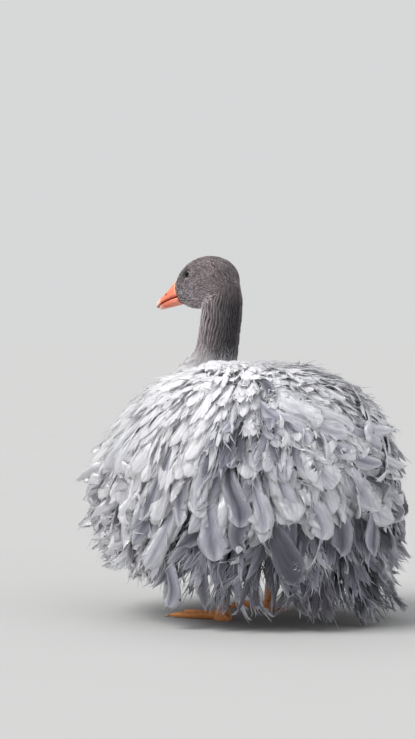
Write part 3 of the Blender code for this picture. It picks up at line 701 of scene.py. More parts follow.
def bill_material():
    """Satin horn, faintly mottled."""
    made, tree, shader = node_material("goose_bill_horn", 0.42, 0.0, 0.4)
    shaded(tree, shader, stored_colour(tree), noise(tree, own_place(tree), 260.0, 4.0), (0.3, 0.7),
           (0.86, 1.08))
    bumped(tree, shader, noise(tree, own_place(tree), 900.0, 2.0), 0.12, 0.0004)
    return made


def horn_material():
    """Brown horn of the claws."""
    made, tree, shader = node_material("goose_claw_horn", 0.4, 0.0, 0.4)
    tone = node(tree, "ShaderNodeValToRGB", {"Fac": noise(tree, own_place(tree), 500.0)})
    tone.color_ramp.elements[0].color = (0.30, 0.15, 0.09, 1)
    tone.color_ramp.elements[1].color = (0.62, 0.42, 0.30, 1)
    tree.links.new(tone.outputs["Color"], shader.inputs["Base Color"])
    return made


def duplicate_nodes(name, *nodes):
    """One new object of copies of CAD nodes, with their loose triangles merged."""
    bpy.ops.object.select_all(action="DESELECT")
    copies = []
    for n in nodes:
        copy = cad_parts[n].copy()
        copy.data = copy.data.copy()
        for key in [k for k in copy.keys() if k.startswith("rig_")]:
            del copy[key]
        copy.parent = None
        bpy.context.scene.collection.objects.link(copy)
        copy.select_set(True)
        copies.append(copy)
    bpy.context.view_layer.objects.active = copies[0]
    if len(copies) > 1:
        bpy.ops.object.join()
    made = bpy.context.view_layer.objects.active
    made.name = made.data.name = name
    made.data.materials.clear()
    bpy.ops.object.mode_set(mode="EDIT")
    bpy.ops.mesh.select_all(action="SELECT")
    bpy.ops.mesh.remove_doubles(threshold=0.00001)
    bpy.ops.object.mode_set(mode="OBJECT")
    return made


def core_object(rows=26, sides=48):
    """The flesh of the body as a closed mesh of rings."""
    falls = (np.arange(rows) + 0.35) / (rows - 0.3)
    turns = np.arange(sides) * 360 / sides
    rings = core_points(turns[None, :], falls[:, None])
    faces = []
    for r in range(rows - 1):
        here, below = r * sides, (r + 1) * sides
        faces += [(here + s, below + s, below + (s + 1) % sides, here + (s + 1) % sides)
                  for s in range(sides)]
    faces += [tuple(range(sides)), tuple(reversed(range((rows - 1) * sides, rows * sides)))]
    mesh = bpy.data.meshes.new("core")
    mesh.from_pydata(rings.reshape(-1, 3).tolist(), [], faces)
    obj = bpy.data.objects.new("core", mesh)
    bpy.context.scene.collection.objects.link(obj)
    return obj


# How fine the skin is, how deep it lies under the solids, and the neck's foot, in metres
SKIN_VOXEL = 0.0019
SKIN_DEPTH = 0.0014
NECK_FOOT = 0.335


def apply_modifier(obj, kind, **settings):
    """Adds one modifier and applies it."""
    select_only(obj)
    modifier = obj.modifiers.new(kind.lower(), kind)
    for key, value in settings.items():
        setattr(modifier, key, value)
    bpy.ops.object.modifier_apply(modifier=modifier.name)
    return obj


def read_points(mesh):
    """The points of a mesh as an array."""
    found = np.zeros(len(mesh.vertices) * 3)
    mesh.vertices.foreach_get("co", found)
    return found.reshape(-1, 3)


# The neck's middle line from its foot to the head: x, y and z
NECK_ROWS = np.array([
    (0.000, -0.098, 0.262), (0.000, -0.096, 0.292), (0.000, -0.081, 0.320), (0.000, -0.062, 0.348),
    (0.001, -0.052, 0.378), (0.002, -0.045, 0.408), (0.003, -0.041, 0.436), (0.003, -0.039, 0.458),
])


def neck_axis(z):
    """The middle of the neck at heights."""
    return np.stack([np.interp(z, NECK_ROWS[:, 2], NECK_ROWS[:, k]) for k in (0, 1, 2)], -1)


def in_head(points):
    """Places in the head's own axes: forward, left and up."""
    return (points - np.array(HEAD.translation)) @ np.array(HEAD.to_3x3())


def head_colour(points):
    """Colours of the head and neck by place: dark crown, nape and smudges, paler cheek and throat."""
    colours = bpy.context.scene.goose_colours
    local = in_head(points)
    forward, left, up = local[..., 0], np.abs(local[..., 1]), local[..., 2]
    z = points[..., 2]
    axis = neck_axis(z)
    behind = np.clip((points[..., 1] - axis[..., 1]) / 0.028, -1, 1)
    on_neck = np.clip((0.452 - z) / 0.03, 0, 1)
    crown = 0.10 + 0.25 * np.clip((up - 0.026) / 0.018, 0, 1)
    crown = crown + 0.40 * np.clip((0.004 - forward) / 0.025, 0, 1)
    smudge = 0.45 * hill(forward, 0.045, 0.006) * hill(up, 0.024, 0.006)
    smudge = smudge + 0.35 * hill(forward, 0.021, 0.007) * hill(up, 0.022, 0.005)
    cheek = 0.35 * hill(forward, 0.036, 0.016) * hill(up, 0.008, 0.012)
    nape = np.clip(0.30 + 1.15 * behind, 0, 1)
    dark = np.clip((crown + smudge * (left > 0.008)) * (1 - on_neck) + nape * on_neck, 0, 1)
    colour = mixed(colours.brown, colours.charcoal, dark)
    silver = mixed(mixed(colours.lavender, colours.brown, 0.35), (0.54, 0.45, 0.46), 0.7 * on_neck)
    pale = 0.75 * cheek * (1 - on_neck) + on_neck * np.clip(0.05 - 1.1 * behind, 0, 0.9)
    colour = mixed(colour, silver, np.clip(pale, 0, 1))
    rim = hill(forward, 0.0655, 0.0022) * np.clip((up - 0.004) / 0.01, 0, 1)
    chin = hill(forward, 0.060, 0.006) * hill(up, -0.016, 0.006)
    colour = mixed(colour, mixed(colours.white, colours.brown, 0.3), 0.6 * np.clip(rim + chin, 0, 1))
    low = np.clip((0.362 - z) / 0.03, 0, 1) * np.clip(0.55 - 0.9 * behind, 0, 1)
    low = np.maximum(low, np.clip((0.350 - z) / 0.012, 0, 1))
    return mixed(colour, colours.white, low)


def skin_object():
    """Head, neck and body under one skin, a little inside the feathers, coloured and unwrapped."""
    skin = duplicate_nodes("skin", "head", "neck")
    core = core_object()
    bpy.ops.object.select_all(action="DESELECT")
    core.select_set(True)
    skin.select_set(True)
    bpy.context.view_layer.objects.active = skin
    bpy.ops.object.join()
    apply_modifier(skin, "REMESH", mode="VOXEL", voxel_size=SKIN_VOXEL, use_smooth_shade=True)
    apply_modifier(skin, "SMOOTH", factor=0.5, iterations=4)
    apply_modifier(skin, "DISPLACE", strength=-SKIN_DEPTH, mid_level=0)
    points = read_points(skin.data)
    colours = bpy.context.scene.goose_colours
    # Painted shade: the skin of the head and neck is a quarter as bright as their feathers, so the furrows
    # between the feathers look near black
    colour = 0.25 * head_colour(points)
    body = (points[:, 2] < NECK_FOOT) | (points[:, 1] > -0.02)
    colour[body] = mixed(colours.white, colours.lavender, 0.7)
    paint(skin.data, colour)
    unwrapped = skin.data.uv_layers.new(name="OFBake")
    corners = np.zeros(len(skin.data.loops), int)
    skin.data.loops.foreach_get("vertex_index", corners)
    middle = np.stack([0 * points[:, 2], BODY_MIDDLE_Y + 0 * points[:, 2], points[:, 2]], -1)
    around = points - np.where(body[:, None], middle, neck_axis(points[:, 2]))
    turn = np.degrees(np.arctan2(around[:, 0], -around[:, 1])) % 360
    share = np.where(body, 0.02 + 0.6 * points[:, 2] / 0.34, 0.66 + 0.32 * (points[:, 2] - 0.3) / 0.2)
    places = np.stack([0.02 + 0.95 * turn / 360, np.clip(share, 0, 1)], -1)
    unwrapped.data.foreach_set("uv", places[corners].ravel())
    return skin


class Grid:
    """The skin as rows and columns of rays from an axis meet it. The columns run right round."""

    def __init__(self, tree, centres, directions):
        rows, columns = directions.shape[:2]
        self.points = np.zeros((rows, columns, 3))
        self.facing = np.array(directions, float)
        self.reach = np.full((rows, columns), 9.0)
        for r in range(rows):
            for c in range(columns):
                place, normal, _, distance = tree.ray_cast(Vector(centres[r, c]), Vector(directions[r, c]))
                if place is not None:
                    self.points[r, c], self.facing[r, c], self.reach[r, c] = place, normal, distance
        turned = (self.facing * directions).sum(-1, keepdims=True)
        self.facing = self.facing * np.where(turned < 0, -1, 1)

    def read(self, values, row, column):
        """Values at a row and a column, where the columns count round from 0 to 1."""
        rows, columns = values.shape[:2]
        row = np.clip(row, 0, rows - 1.001)
        column = (column % 1) * columns
        i, j = row.astype(int), column.astype(int) % columns
        a, b = (row - i), (column - np.floor(column))
        if values.ndim == 3:
            a, b = a[..., None], b[..., None]
        k = (j + 1) % columns
        here = values[i, j] * (1 - b) + values[i, k] * b
        beyond = values[i + 1, j] * (1 - b) + values[i + 1, k] * b
        return here * (1 - a) + beyond * a


def skin_tree():
    """The skin's faces, ready for rays."""
    skin = bpy.data.objects["skin"]
    return BVHTree.FromPolygons([v.co for v in skin.data.vertices], [p.vertices for p in skin.data.polygons])


def fine_feathers(plumage, path, facing, half_width, thickness, arch, colour, patch, stations_along,
                  edge_shade):
    """Small closed feathers along paths, arched across, with painted shade on their edges and undersides, so
    their crests look lit.
    """
    share, height = FINE
    ahead = unit(np.gradient(path, axis=1))
    across = unit(np.cross(ahead, facing))
    up = np.cross(across, ahead)
    half = half_width[:, None] * profile(SMALL, stations_along)
    side = across[:, :, None] * (half[..., None] * share)[..., None]
    rise = (arch * half)[..., None] * (1 - share**2) * (height > 0) + thickness * (height - 0.5)
    points = path[:, :, None] + side + up[:, :, None] * rise[..., None]
    # Painted light and shade: full colour on the crest, darker towards the edges and on the underside
    shade = np.where(height > 0, 1 - (1 - edge_shade) * np.abs(share), edge_shade)
    tint = colour[..., None, :] * shade[:, None]
    vane = np.stack(np.broadcast_arrays(0.5 + 0.5 * share, stations_along[:, None]), -1)
    vane = np.broadcast_to(vane, (*points.shape[:3], 2))
    plumage.add(points, vane, np.clip(tint, 0, 0.97), patch, facing[:, :, None])


# The section and the half widths of the small feathers
FINE = (np.array([-1.0, 0.0, 1.0, 0.0]), np.array([0.5, 1.0, 0.5, 0.0]))
SMALL = [(0, 0.6), (0.3, 1.0), (0.7, 0.8), (1, 0.08)]

# Heights at which the neck's skin is read, how far out it may lie, its radius, and the size and rows of
# the feathers in its ridges, in metres
NECK_LEVELS = np.linspace(0.462, 0.300, 82)
NECK_REACH, NECK_RADIUS = 0.047, 0.028
RIDGE_FEATHER, RIDGE_SPACING = 0.0165, 0.0044
RIDGE_TOP, RIDGE_FOOT = 0.458, 0.346


def smooth_rows(grid, passes=6):
    """Evens out the grid's upper rows, where the head bulges past the neck."""
    share = np.clip((NECK_LEVELS - 0.412) / 0.020, 0, 1)[1:-1, None, None]
    for _ in range(passes):
        for values in (grid.points, grid.facing):
            evened = (values[:-2] + values[1:-1] + values[2:]) / 3
            values[1:-1] = values[1:-1] * (1 - share) + evened * share


def neck_grid(tree, columns=96):
    """The neck's skin by height and turn."""
    turns = np.radians(np.arange(columns) * 360 / columns)
    directions = np.stack([np.sin(turns), -np.cos(turns), 0 * turns], -1)
    directions = np.broadcast_to(directions, (len(NECK_LEVELS), columns, 3))
    centres = np.broadcast_to(neck_axis(NECK_LEVELS)[:, None], directions.shape)
    grid = Grid(tree, centres, directions)
    smooth_rows(grid)
    return grid


def neck_feathers(rng, plumage, grid):
    """Narrow feathers in wavy ridges down the neck, over furrows of skin darkened with painted shade."""
    settings = bpy.context.scene.goose_head
    ridges, strands = settings.ridges, 3
    rows = int((RIDGE_TOP - RIDGE_FOOT) / RIDGE_SPACING)
    counted = np.meshgrid(range(ridges), range(rows), range(strands), indexing="ij")
    ridge, row, strand = (values.ravel() for values in counted)
    off = (strand - 1) * 0.27 + rng.normal(0, 0.07, len(row))
    stations = np.linspace(0, 1, 4)
    ragged = 0.5 * (ridge % 2) + 1.6 * np.sin(ridge * 2.1) + strand / 3
    start = RIDGE_TOP + 0.006 - RIDGE_SPACING * (row + rng.uniform(-0.3, 0.3, len(row)) + ragged)
    z = start[:, None] - RIDGE_FEATHER * rng.uniform(0.8, 1.2, len(row))[:, None] * stations
    phase = ridge[:, None] * 0.45
    wave = 0.007 * np.sin(2 * math.pi * z / 0.047 + phase)
    wave = wave + 0.004 * np.sin(2 * math.pi * z / 0.018 + 3.1 * phase)
    turn = (ridge + off)[:, None] / ridges + wave + rng.normal(0, 0.0012, len(row))[:, None] * stations
    at = (NECK_LEVELS[0] - z) / (NECK_LEVELS[0] - NECK_LEVELS[-1]) * (len(NECK_LEVELS) - 1)
    facing = unit(grid.read(grid.facing, at, turn))
    path = grid.read(grid.points, at, turn)
    near = (grid.read(grid.reach, at, turn) < NECK_REACH).all(1)
    front = in_head(path)
    near &= ~((front[..., 2] > -0.016) & (front[..., 0] > -0.006)).any(1)
    lift = settings.ridge_height * rng.uniform(0.75, 1.2, len(row))[:, None] * (0.45 + 0.55 * stations)
    lift = lift * np.clip((0.456 - z) / 0.030, 0.3, 1) * (1 - 3.4 * off[:, None] ** 2)
    path = path + facing * lift[..., None]
    # Painted light and shade: lighter towards each feather's tip and in the middle of each ridge, darker at
    # the roots and on the ridges' sides; the random tone is the feathers' own
    colour = head_colour(path) * rng.uniform(0.7, 1.35, (len(row), 1, 1)) * (0.75 + 0.6 * stations[:, None])
    colour = colour * (1.30 - 8.0 * off**2)[:, None, None]
    patch = np.stack([0.02 + 0.95 * (turn[:, 0] % 1), 0.66 + 0.32 * (start - 0.3) / 0.2], -1)
    around = 2 * math.pi * NECK_RADIUS / ridges
    half = around * rng.uniform(0.17, 0.24, len(row))
    fine_feathers(plumage, path[near], facing[near], half[near], 0.0004, 0.4, colour[near], patch[near],
                  stations, 0.5)


def collar_feathers(rng, plumage, grid, count=850):
    """Soft white feathers at the foot of the neck, longer lower down."""
    start = rng.uniform(0.318, 0.374, count)
    share = (0.374 - start) / 0.056
    turn = rng.uniform(0, 1, count)
    stations = np.linspace(0, 1, 7)
    length = 0.014 + 0.016 * share
    z = start[:, None] - length[:, None] * stations
    at = (NECK_LEVELS[0] - z) / (NECK_LEVELS[0] - NECK_LEVELS[-1]) * (len(NECK_LEVELS) - 1)
    at_turn = turn[:, None] + rng.normal(0, 0.02, count)[:, None] * stations
    facing = unit(grid.read(grid.facing, at, at_turn))
    lift = 0.0012 + 0.0045 * share[:, None] * stations
    path = grid.read(grid.points, at, at_turn) + facing * lift[..., None]
    near = (grid.read(grid.reach, at, at_turn) < 0.075).all(1)
    path, facing, turn, start = path[near], facing[near], turn[near], start[near]
    half = (0.0026 + 0.004 * share[near]) * rng.uniform(0.8, 1.2, near.sum())
    quills = Quills(rng, path, facing, half, TONGUE, rng.uniform(-15, 15, near.sum()),
                    rng.uniform(0.1, 0.4, near.sum()), 0.2)
    base = head_colour(path[:, 0])

    def tint(which, along, across):
        """The colours at places on the vanes."""
        pale = mixed(base[which], bpy.context.scene.goose_colours.white, 0.55 * np.clip(along, 0, 1))
        # Painted shade: a little darker towards the root, where it lies under other feathers
        return pale * (0.93 + 0.07 * np.clip(along, 0, 1))[..., None]

    patch = np.stack([0.02 + 0.95 * turn, 0.66 + 0.32 * (start - 0.3) / 0.2], -1)
    add_vanes(rng, plumage, quills, tint, patch, 7, NARROW, 0.0004, 0.75, 0.04)
    add_barbs(rng, plumage, quills, tint, patch, 16, 0.0005, 3, (0.2, 0.6), (0.8, 1.2), 2.0, 5)


# Where rays over the head start, in its own axes, and their first and last angle from the bill's axis
HEAD_CENTRE = Vector((0.022, 0, 0.010))
HEAD_ANGLES = (3, 177)


def head_grid(tree, rows=90, columns=120):
    """The head's skin by the angle from the bill's axis and the turn round it."""
    polar = np.radians(np.linspace(*HEAD_ANGLES, rows))[:, None]
    around = 2 * math.pi * np.arange(columns)[None, :] / columns
    across = np.sin(polar)
    local = np.stack([np.cos(polar) + 0 * around, across * np.sin(around), across * np.cos(around)], -1)
    directions = local @ np.array(HEAD.to_3x3()).T
    centres = np.broadcast_to(np.array(HEAD @ HEAD_CENTRE), directions.shape)
    return Grid(tree, centres, directions)


def head_feathers(rng, plumage, grid):
    """Short feathers that lie back from the bill, smallest round it and the eyes."""
    settings = bpy.context.scene.goose_head
    count = settings.feathers
    k = np.arange(count) + 0.5
    polar = np.degrees(np.arccos(1 - 2 * k / count))
    around = (k * 0.6180339887) % 1
    length = settings.feather_length * np.interp(polar, [0, 60, 100, 180], [0.55, 0.68, 1.0, 1.3])
    length = length * rng.uniform(0.85, 1.15, count)
    first, last = HEAD_ANGLES
    row = lambda angle: (angle - first) / (last - first) * (grid.points.shape[0] - 1)
    radius = grid.read(grid.reach, row(polar), around)
    stations = np.linspace(0, 1, 4)
    around_turn = 2 * math.pi * around
    sine = np.sin(np.radians(polar))
    root = np.stack([np.cos(np.radians(polar)), sine * np.sin(around_turn), sine * np.cos(around_turn)], -1)
    down = np.clip((polar - 75) / 50, 0, 1) * np.clip(0.6 + root[:, 2], 0, 1)
    flow = np.array([-1.0, 0.0, 0.0]) + down[:, None] * np.array([0.75, 0.0, -1.6])
    flow = flow + rng.normal(0, 0.10, (count, 3))
    flow = unit(flow - root * (flow * root).sum(1, keepdims=True))
    share = (length / np.clip(radius, 0.015, 0.05))[:, None] * stations
    ways = unit(root[:, None] + flow[:, None] * share[..., None])
    angle = np.degrees(np.arccos(np.clip(ways[..., 0], -1, 1)))
    turned = np.arctan2(ways[..., 1], ways[..., 2]) / (2 * math.pi)
    path = grid.read(grid.points, row(angle), turned)
    facing = unit(grid.read(grid.facing, row(angle), turned))
    reach = grid.read(grid.reach, row(angle), turned)
    local = in_head(path)
    eye = np.array([EYE_FORWARD, EYE_UP])
    from_eye = np.linalg.norm(local[..., [0, 2]] - eye, axis=-1)
    on_side = np.abs(local[..., 1]) > 0.012
    keep = (reach < 0.052).all(1) & (local[..., 0].max(1) < BILL_BASE - 0.0002)
    keep &= ~((from_eye < 0.0050) & on_side).any(1)
    lift = (0.0004 + 0.0013 * stations) * np.clip((0.052 - reach) / 0.010, 0.25, 1)
    path = path + facing * lift[..., None] * (0.7 + 0.3 * (from_eye.min(1) > 0.008))[:, None, None]
    speckle = rng.choice([0.45, 0.8, 1.0, 1.35, 1.8], (count, 1, 1), p=[0.20, 0.22, 0.24, 0.22, 0.12])
    # Painted shade: each feather darker at its root, where it lies under the next, and lighter at its tip;
    # the speckle is the head's own mottling
    colour = head_colour(path) * speckle * (0.70 + 0.60 * stations[:, None])
    patch = np.stack([0.02 + 0.95 * around, 0.86 + 0.12 * polar / 180], -1)
    half = 0.125 * length + 0.0002
    fine_feathers(plumage, path[keep], facing[keep], half[keep], 0.0003, 0.25, colour[keep], patch[keep],
                  stations, 0.6)


class GOOSE_OT_skin(bpy.types.Operator):
    """One skin over the head, neck and body, under the feathers"""
    bl_idname = "goose.skin"
    bl_label = "Skin"

    def execute(self, context):
        skin = skin_object()
        skin.data.materials.append(skin_material())
        dressed(skin, "grey_plumage", "head", "neck", "torso")
        return {"FINISHED"}


# Single feathers that stand out on a flank: turn and fall of the root and of the tip, half width, rise,
# hook, grey and arch. These sweep back over the rump.
SWEEPING = [
    (141, 0.19, 163, 0.29, 0.017, 4, 12, 0.04, 0.02),
    (142, 0.22, 170, 0.34, 0.018, 10, -14, 0.06, 0.04),
    (141, 0.26, 160, 0.39, 0.016, 6, 20, 0.08, 0.02),
    (147, 0.26, 177, 0.39, 0.018, 4, -18, 0.14, 0.03),
    (154, 0.25, 184, 0.36, 0.018, 4, 14, 0.04, 0.02),
    (150, 0.31, 190, 0.47, 0.015, 2, -12, 0.35, 0.02),
    (143, 0.33, 161, 0.47, 0.018, 8, 20, 0.16, 0.02),
    (152, 0.36, 170, 0.50, 0.019, 8, -20, 0.12, 0.02),
    (164, 0.30, 196, 0.43, 0.018, 4, -12, 0.10, 0.02),
    (166, 0.38, 184, 0.54, 0.019, 6, 16, 0.14, 0.02),
    (184, 0.30, 201, 0.38, 0.008, 45, -10, 0.00, 0.00),
    (186, 0.38, 203, 0.45, 0.006, 40, 5, 0.00, 0.00),
]

# These hang in the middle of the flank and at its hem, and one curls over at the foot of the neck
SHOWY = [
    (97, 0.14, 112, 0.12, 0.009, 0, 30, 0.10, 0.20),
    (146, 0.17, 147, 0.25, 0.008, 10, 0, 0.45, 0.05),
    (92, 0.38, 86, 0.58, 0.016, 4, 14, 0.04, 0.00),
    (104, 0.36, 99, 0.57, 0.015, 0, 10, 0.25, 0.00),
    (113, 0.38, 109, 0.60, 0.017, 6, -10, 0.20, 0.02),
    (121, 0.36, 118, 0.55, 0.015, 10, 20, 0.12, 0.02),
    (88, 0.52, 84, 0.70, 0.015, 16, -20, 0.02, 0.02),
    (106, 0.54, 102, 0.72, 0.017, 10, 24, 0.12, 0.02),
    (119, 0.50, 126, 0.68, 0.021, 12, 28, 0.28, 0.03),
    (129, 0.40, 133, 0.59, 0.016, 8, -20, 0.20, 0.02),
    (136, 0.50, 131, 0.66, 0.012, 25, -60, 0.00, 0.03),
    (138, 0.44, 142, 0.60, 0.016, 10, 12, 0.15, 0.02),
    (141, 0.54, 154, 0.745, 0.019, 2, 6, 0.30, 0.02),
    (147, 0.42, 151, 0.59, 0.017, 8, 10, 0.15, 0.02),
    (157, 0.46, 163, 0.63, 0.018, 8, -12, 0.15, 0.02),
    (168, 0.52, 175, 0.68, 0.019, 10, 20, 0.20, 0.02),
    (103, 0.66, 108, 0.84, 0.016, 40, 40, 0.05, 0.02),
    (117, 0.70, 121, 0.85, 0.012, 45, -30, 0.05, 0.02),
]

# Ragged strips at the hem
STRIPS = [
    (126, 0.66, 128, 0.88, 0.009, 10, 10, 0.10, 0.00),
    (130, 0.64, 133, 0.89, 0.010, 15, -20, 0.10, 0.00),
    (135, 0.66, 137, 0.88, 0.009, 15, 20, 0.15, 0.00),
    (139, 0.68, 139, 0.87, 0.008, 20, -20, 0.10, 0.00),
    (94, 0.66, 92, 0.84, 0.010, 35, -30, 0.00, 0.00),
    (84, 0.62, 80, 0.82, 0.010, 40, 40, 0.00, 0.00),
    (74, 0.60, 70, 0.80, 0.009, 45, -40, 0.00, 0.00),
]


def refined(name, node_name, voxel, smoothing):
    """A fine, smooth copy of one CAD node."""
    obj = duplicate_nodes(name, node_name)
    apply_modifier(obj, "REMESH", mode="VOXEL", voxel_size=voxel, use_smooth_shade=True)
    apply_modifier(obj, "SMOOTH", factor=0.5, iterations=smoothing)
    return obj


def face_directions(mesh):
    """Which way the surface faces at each point."""
    found = np.zeros(len(mesh.vertices) * 3)
    mesh.vertices.foreach_get("normal", found)
    return found.reshape(-1, 3)


def move_points(mesh, points):
    """Moves all the points of a mesh."""
    mesh.vertices.foreach_set("co", points.ravel())
    mesh.update()


# The line of the mouth in the head's own axes, where the nail starts, how far it is raised, and the
# teeth's spacing
MOUTH_FORWARD = (0.067, 0.076, 0.087, 0.097, 0.105, 0.110)
MOUTH_UP = (0.0015, 0.0020, 0.0018, 0.0007, -0.0012, -0.0024)
NAIL_START, NAIL_RISE = 0.0995, 0.00035
BILL_TEETH = 0.0016


def bill_piece(name, node_name):
    """One half of the bill, with its nail, a toothed mouth edge and colours by place."""
    obj = refined(name, node_name, 0.0006, 3)
    points, facing = read_points(obj.data), face_directions(obj.data)
    local = in_head(points)
    forward, left, up = local[:, 0], local[:, 1], local[:, 2]
    mouth = np.interp(forward, MOUTH_FORWARD, MOUTH_UP)
    from_mouth = np.abs(up - mouth)
    nail = np.clip((forward - NAIL_START) / 0.0015, 0, 1) * np.clip((0.0065 - np.abs(left)) / 0.0015, 0, 1)
    teeth = np.clip(np.sin(2 * math.pi * forward / BILL_TEETH), 0, 1)
    teeth = teeth * hill(from_mouth, 0.0014, 0.0010) * (np.abs(left) > 0.004)
    teeth = teeth * (forward > 0.073) * (forward < 0.1)
    move_points(obj.data, points + facing * (NAIL_RISE * nail - 0.00035 * teeth)[:, None])
    colours = bpy.context.scene.goose_colours
    horn = np.broadcast_to(np.array(colours.bill), points.shape)
    rosy = mixed(horn, (0.86, 0.36, 0.27), 0.55 * np.clip((0.086 - forward) / 0.015, 0, 1) * (up < mouth))
    ridge = hill(left, 0, 0.0045) * (up > mouth + 0.004)
    colour = mixed(rosy, (0.86, 0.30, 0.14), 0.5 * ridge)
    colour = mixed(colour, (0.86, 0.50, 0.36), 0.8 * hill(forward, 0.0675, 0.0016) * (up > mouth + 0.003))
    colour = mixed(colour, (0.90, 0.62, 0.50), 0.85 * np.clip((forward - NAIL_START + 0.0045) / 0.006, 0, 1))
    colour = mixed(colour, (0.30, 0.045, 0.030), 0.85 * np.clip(1.35 - from_mouth / 0.0009, 0, 1))
    # Painted shade in the sunk notches between the teeth
    colour = mixed(colour, (0.62, 0.10, 0.05), 0.5 * teeth)
    # Painted shade: the nostril slits are painted dark, for openings that are not cut into the bill
    slits = np.stack([0 * left + 0.086, np.sign(left) * 0.0098, 0 * left + 0.0098], -1)
    nostril = np.linalg.norm(local - slits, axis=-1)
    colour = mixed(colour, (0.25, 0.04, 0.03), 0.8 * np.clip(1.3 - nostril / 0.0025, 0, 1) * (up > 0.004))
    paint(obj.data, colour)
    return obj


class GOOSE_OT_bill(bpy.types.Operator):
    """Both halves of the bill"""
    bl_idname = "goose.bill"
    bl_label = "Bill"

    def execute(self, context):
        material = bill_material()
        for name, node_name in (("upper_bill", "bill_upper"), ("lower_bill", "bill_lower")):
            obj = bill_piece(name, node_name)
            obj.data.materials.append(material)
            dressed(obj, "bill", node_name)
        return {"FINISHED"}


def eye_frame(side):
    """The middle of an eye, the way that it looks out, and its up and forward ways."""
    middle = middle_of("eye_left" if side > 0 else "eye_right")
    turn = HEAD.to_3x3()
    out = (turn @ Vector((0.10, side, 0.12))).normalized()
    up = turn @ Vector((0, 0, 1))
    up = (up - out * out.dot(up)).normalized()
    return middle, out, up, up.cross(out) * side


def eye_material(name, middle, out, radius):
    """Glossy dark brown with a black pupil, by the distance from the line of sight."""
    made, tree, shader = node_material(name, 0.08, 0.0, 0.10)
    front = middle + out * radius
    near = node(tree, "ShaderNodeVectorMath", {0: own_place(tree), 1: tuple(front)}, operation="DISTANCE")
    rings = node(tree, "ShaderNodeValToRGB", {"Fac": near.outputs["Value"]})
    ramp = rings.color_ramp
    ramp.elements[0].position, ramp.elements[0].color = 0.0019, (0.002, 0.002, 0.002, 1)
    ramp.elements[1].position, ramp.elements[1].color = 0.0023, (0.016, 0.008, 0.005, 1)
    edge = ramp.elements.new(0.0034)
    edge.color = (0.006, 0.004, 0.004, 1)
    tree.links.new(rings.outputs["Color"], shader.inputs["Base Color"])
    return made


def eyeball(name, side):
    """One glossy eyeball in its place."""
    node_name = "eye_left" if side > 0 else "eye_right"
    middle, out, _, _ = eye_frame(side)
    low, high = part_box(node_name)
    radius = (high.z - low.z) / 2
    bpy.ops.object.select_all(action="DESELECT")
    bpy.ops.mesh.primitive_uv_sphere_add(segments=48, ring_count=32, radius=radius, location=middle)
    eye = bpy.context.active_object
    eye.name = eye.data.name = name
    bpy.ops.object.transform_apply(location=True, rotation=True, scale=True)
    bpy.ops.object.shade_smooth()
    eye.data.materials.append(eye_material(f"goose_{name}", middle, out, radius))
    return dressed(eye, "eye", node_name)


# Rings of a lid: how far round the eyeball from the line of sight, in degrees, and out from it, in metres.
# The last one closes it behind.
LID_ROWS = [
    (82, 0.0001), (68, 0.0007), (57, 0.0008), (50, 0.0006), (47, 0.0002), (50, -0.0001), (84, -0.0006),
]


def lids(name, side, steps=40):
    """The fold of skin round an eye, pointed in front and behind, with a small step at the rim."""
    middle, out, up, ahead = eye_frame(side)
    low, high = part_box("eye_left" if side > 0 else "eye_right")
    radius = (high.z - low.z) / 2
    round_eye = np.linspace(0, 2 * np.pi, steps, endpoint=False)
    out, up, ahead, middle = (np.array(v) for v in (out, up, ahead, middle))
    spoke = ahead * np.cos(round_eye)[:, None] + up * np.sin(round_eye)[:, None]
    pointed = 1 + 0.16 * np.abs(np.cos(round_eye)) ** 3 - 0.10 * np.abs(np.sin(round_eye))
    rings, faces = [], []
    for r, (angle, proud) in enumerate(LID_ROWS):
        a = np.radians(angle * (pointed if angle < 60 else np.ones(steps)))[:, None]
        rings.append(middle + (spoke * np.sin(a) + out * np.cos(a)) * (radius + proud))
        here, beyond = r * steps, (r + 1) % len(LID_ROWS) * steps
        faces += [(here + k, here + (k + 1) % steps, beyond + (k + 1) % steps, beyond + k)
                  for k in range(steps)]
    points = np.concatenate(rings)
    mesh = bpy.data.meshes.new(name)
    mesh.from_pydata(points.tolist(), [], faces)
    obj = bpy.data.objects.new(name, mesh)
    bpy.context.scene.collection.objects.link(obj)
    select_only(obj)
    bpy.ops.object.mode_set(mode="EDIT")
    bpy.ops.mesh.select_all(action="SELECT")
    bpy.ops.mesh.normals_make_consistent(inside=False)
    bpy.ops.object.mode_set(mode="OBJECT")
    apply_modifier(obj, "SUBSURF", levels=1, render_levels=1)
    bpy.ops.object.shade_smooth()
    points = read_points(obj.data)
    ahead_share = np.clip((points - middle) @ ahead / radius, -1, 1)
    colours = bpy.context.scene.goose_colours
    colour = mixed(0.7 * np.array(colours.charcoal), (0.50, 0.44, 0.42),
                   np.clip(1.8 * ahead_share - 0.6, 0, 1) * 0.8)
    paint(obj.data, colour)
    return obj


class GOOSE_OT_eyes(bpy.types.Operator):
    """The eyes and their lids"""
    bl_idname = "goose.eyes"
    bl_label = "Eyes"

    def execute(self, context):
        material = skin_material("goose_lids")
        for name, side in (("left", 1), ("right", -1)):
            eyeball(f"eyeball_{name}", side)
            fold = lids(f"lids_{name}", side)
            fold.data.materials.append(material)
            dressed(fold, "grey_plumage")
        return {"FINISHED"}


# Each toe's splay from straight ahead, outwards in degrees, and length, from the ankle. Then where the
# ankles stand, the length of a scute, and the claws.
TOES = ((-27, 0.064), (3, 0.086), (31, 0.080))
HIND_TOE = (155, 0.026)
LEG_SPACING = 0.058
ANKLE_Y = {"left": 0.030, "right": -0.012}
SCUTE = 0.0027
CLAW_SIZE, HIND_CLAW_SIZE = 0.0052, 0.0038


def ankle(name, side):
    """Where the middle of an ankle stands on the floor."""
    return np.array([side * LEG_SPACING, ANKLE_Y[name], 0.0]) + SHIFT * [1, 1, 0]


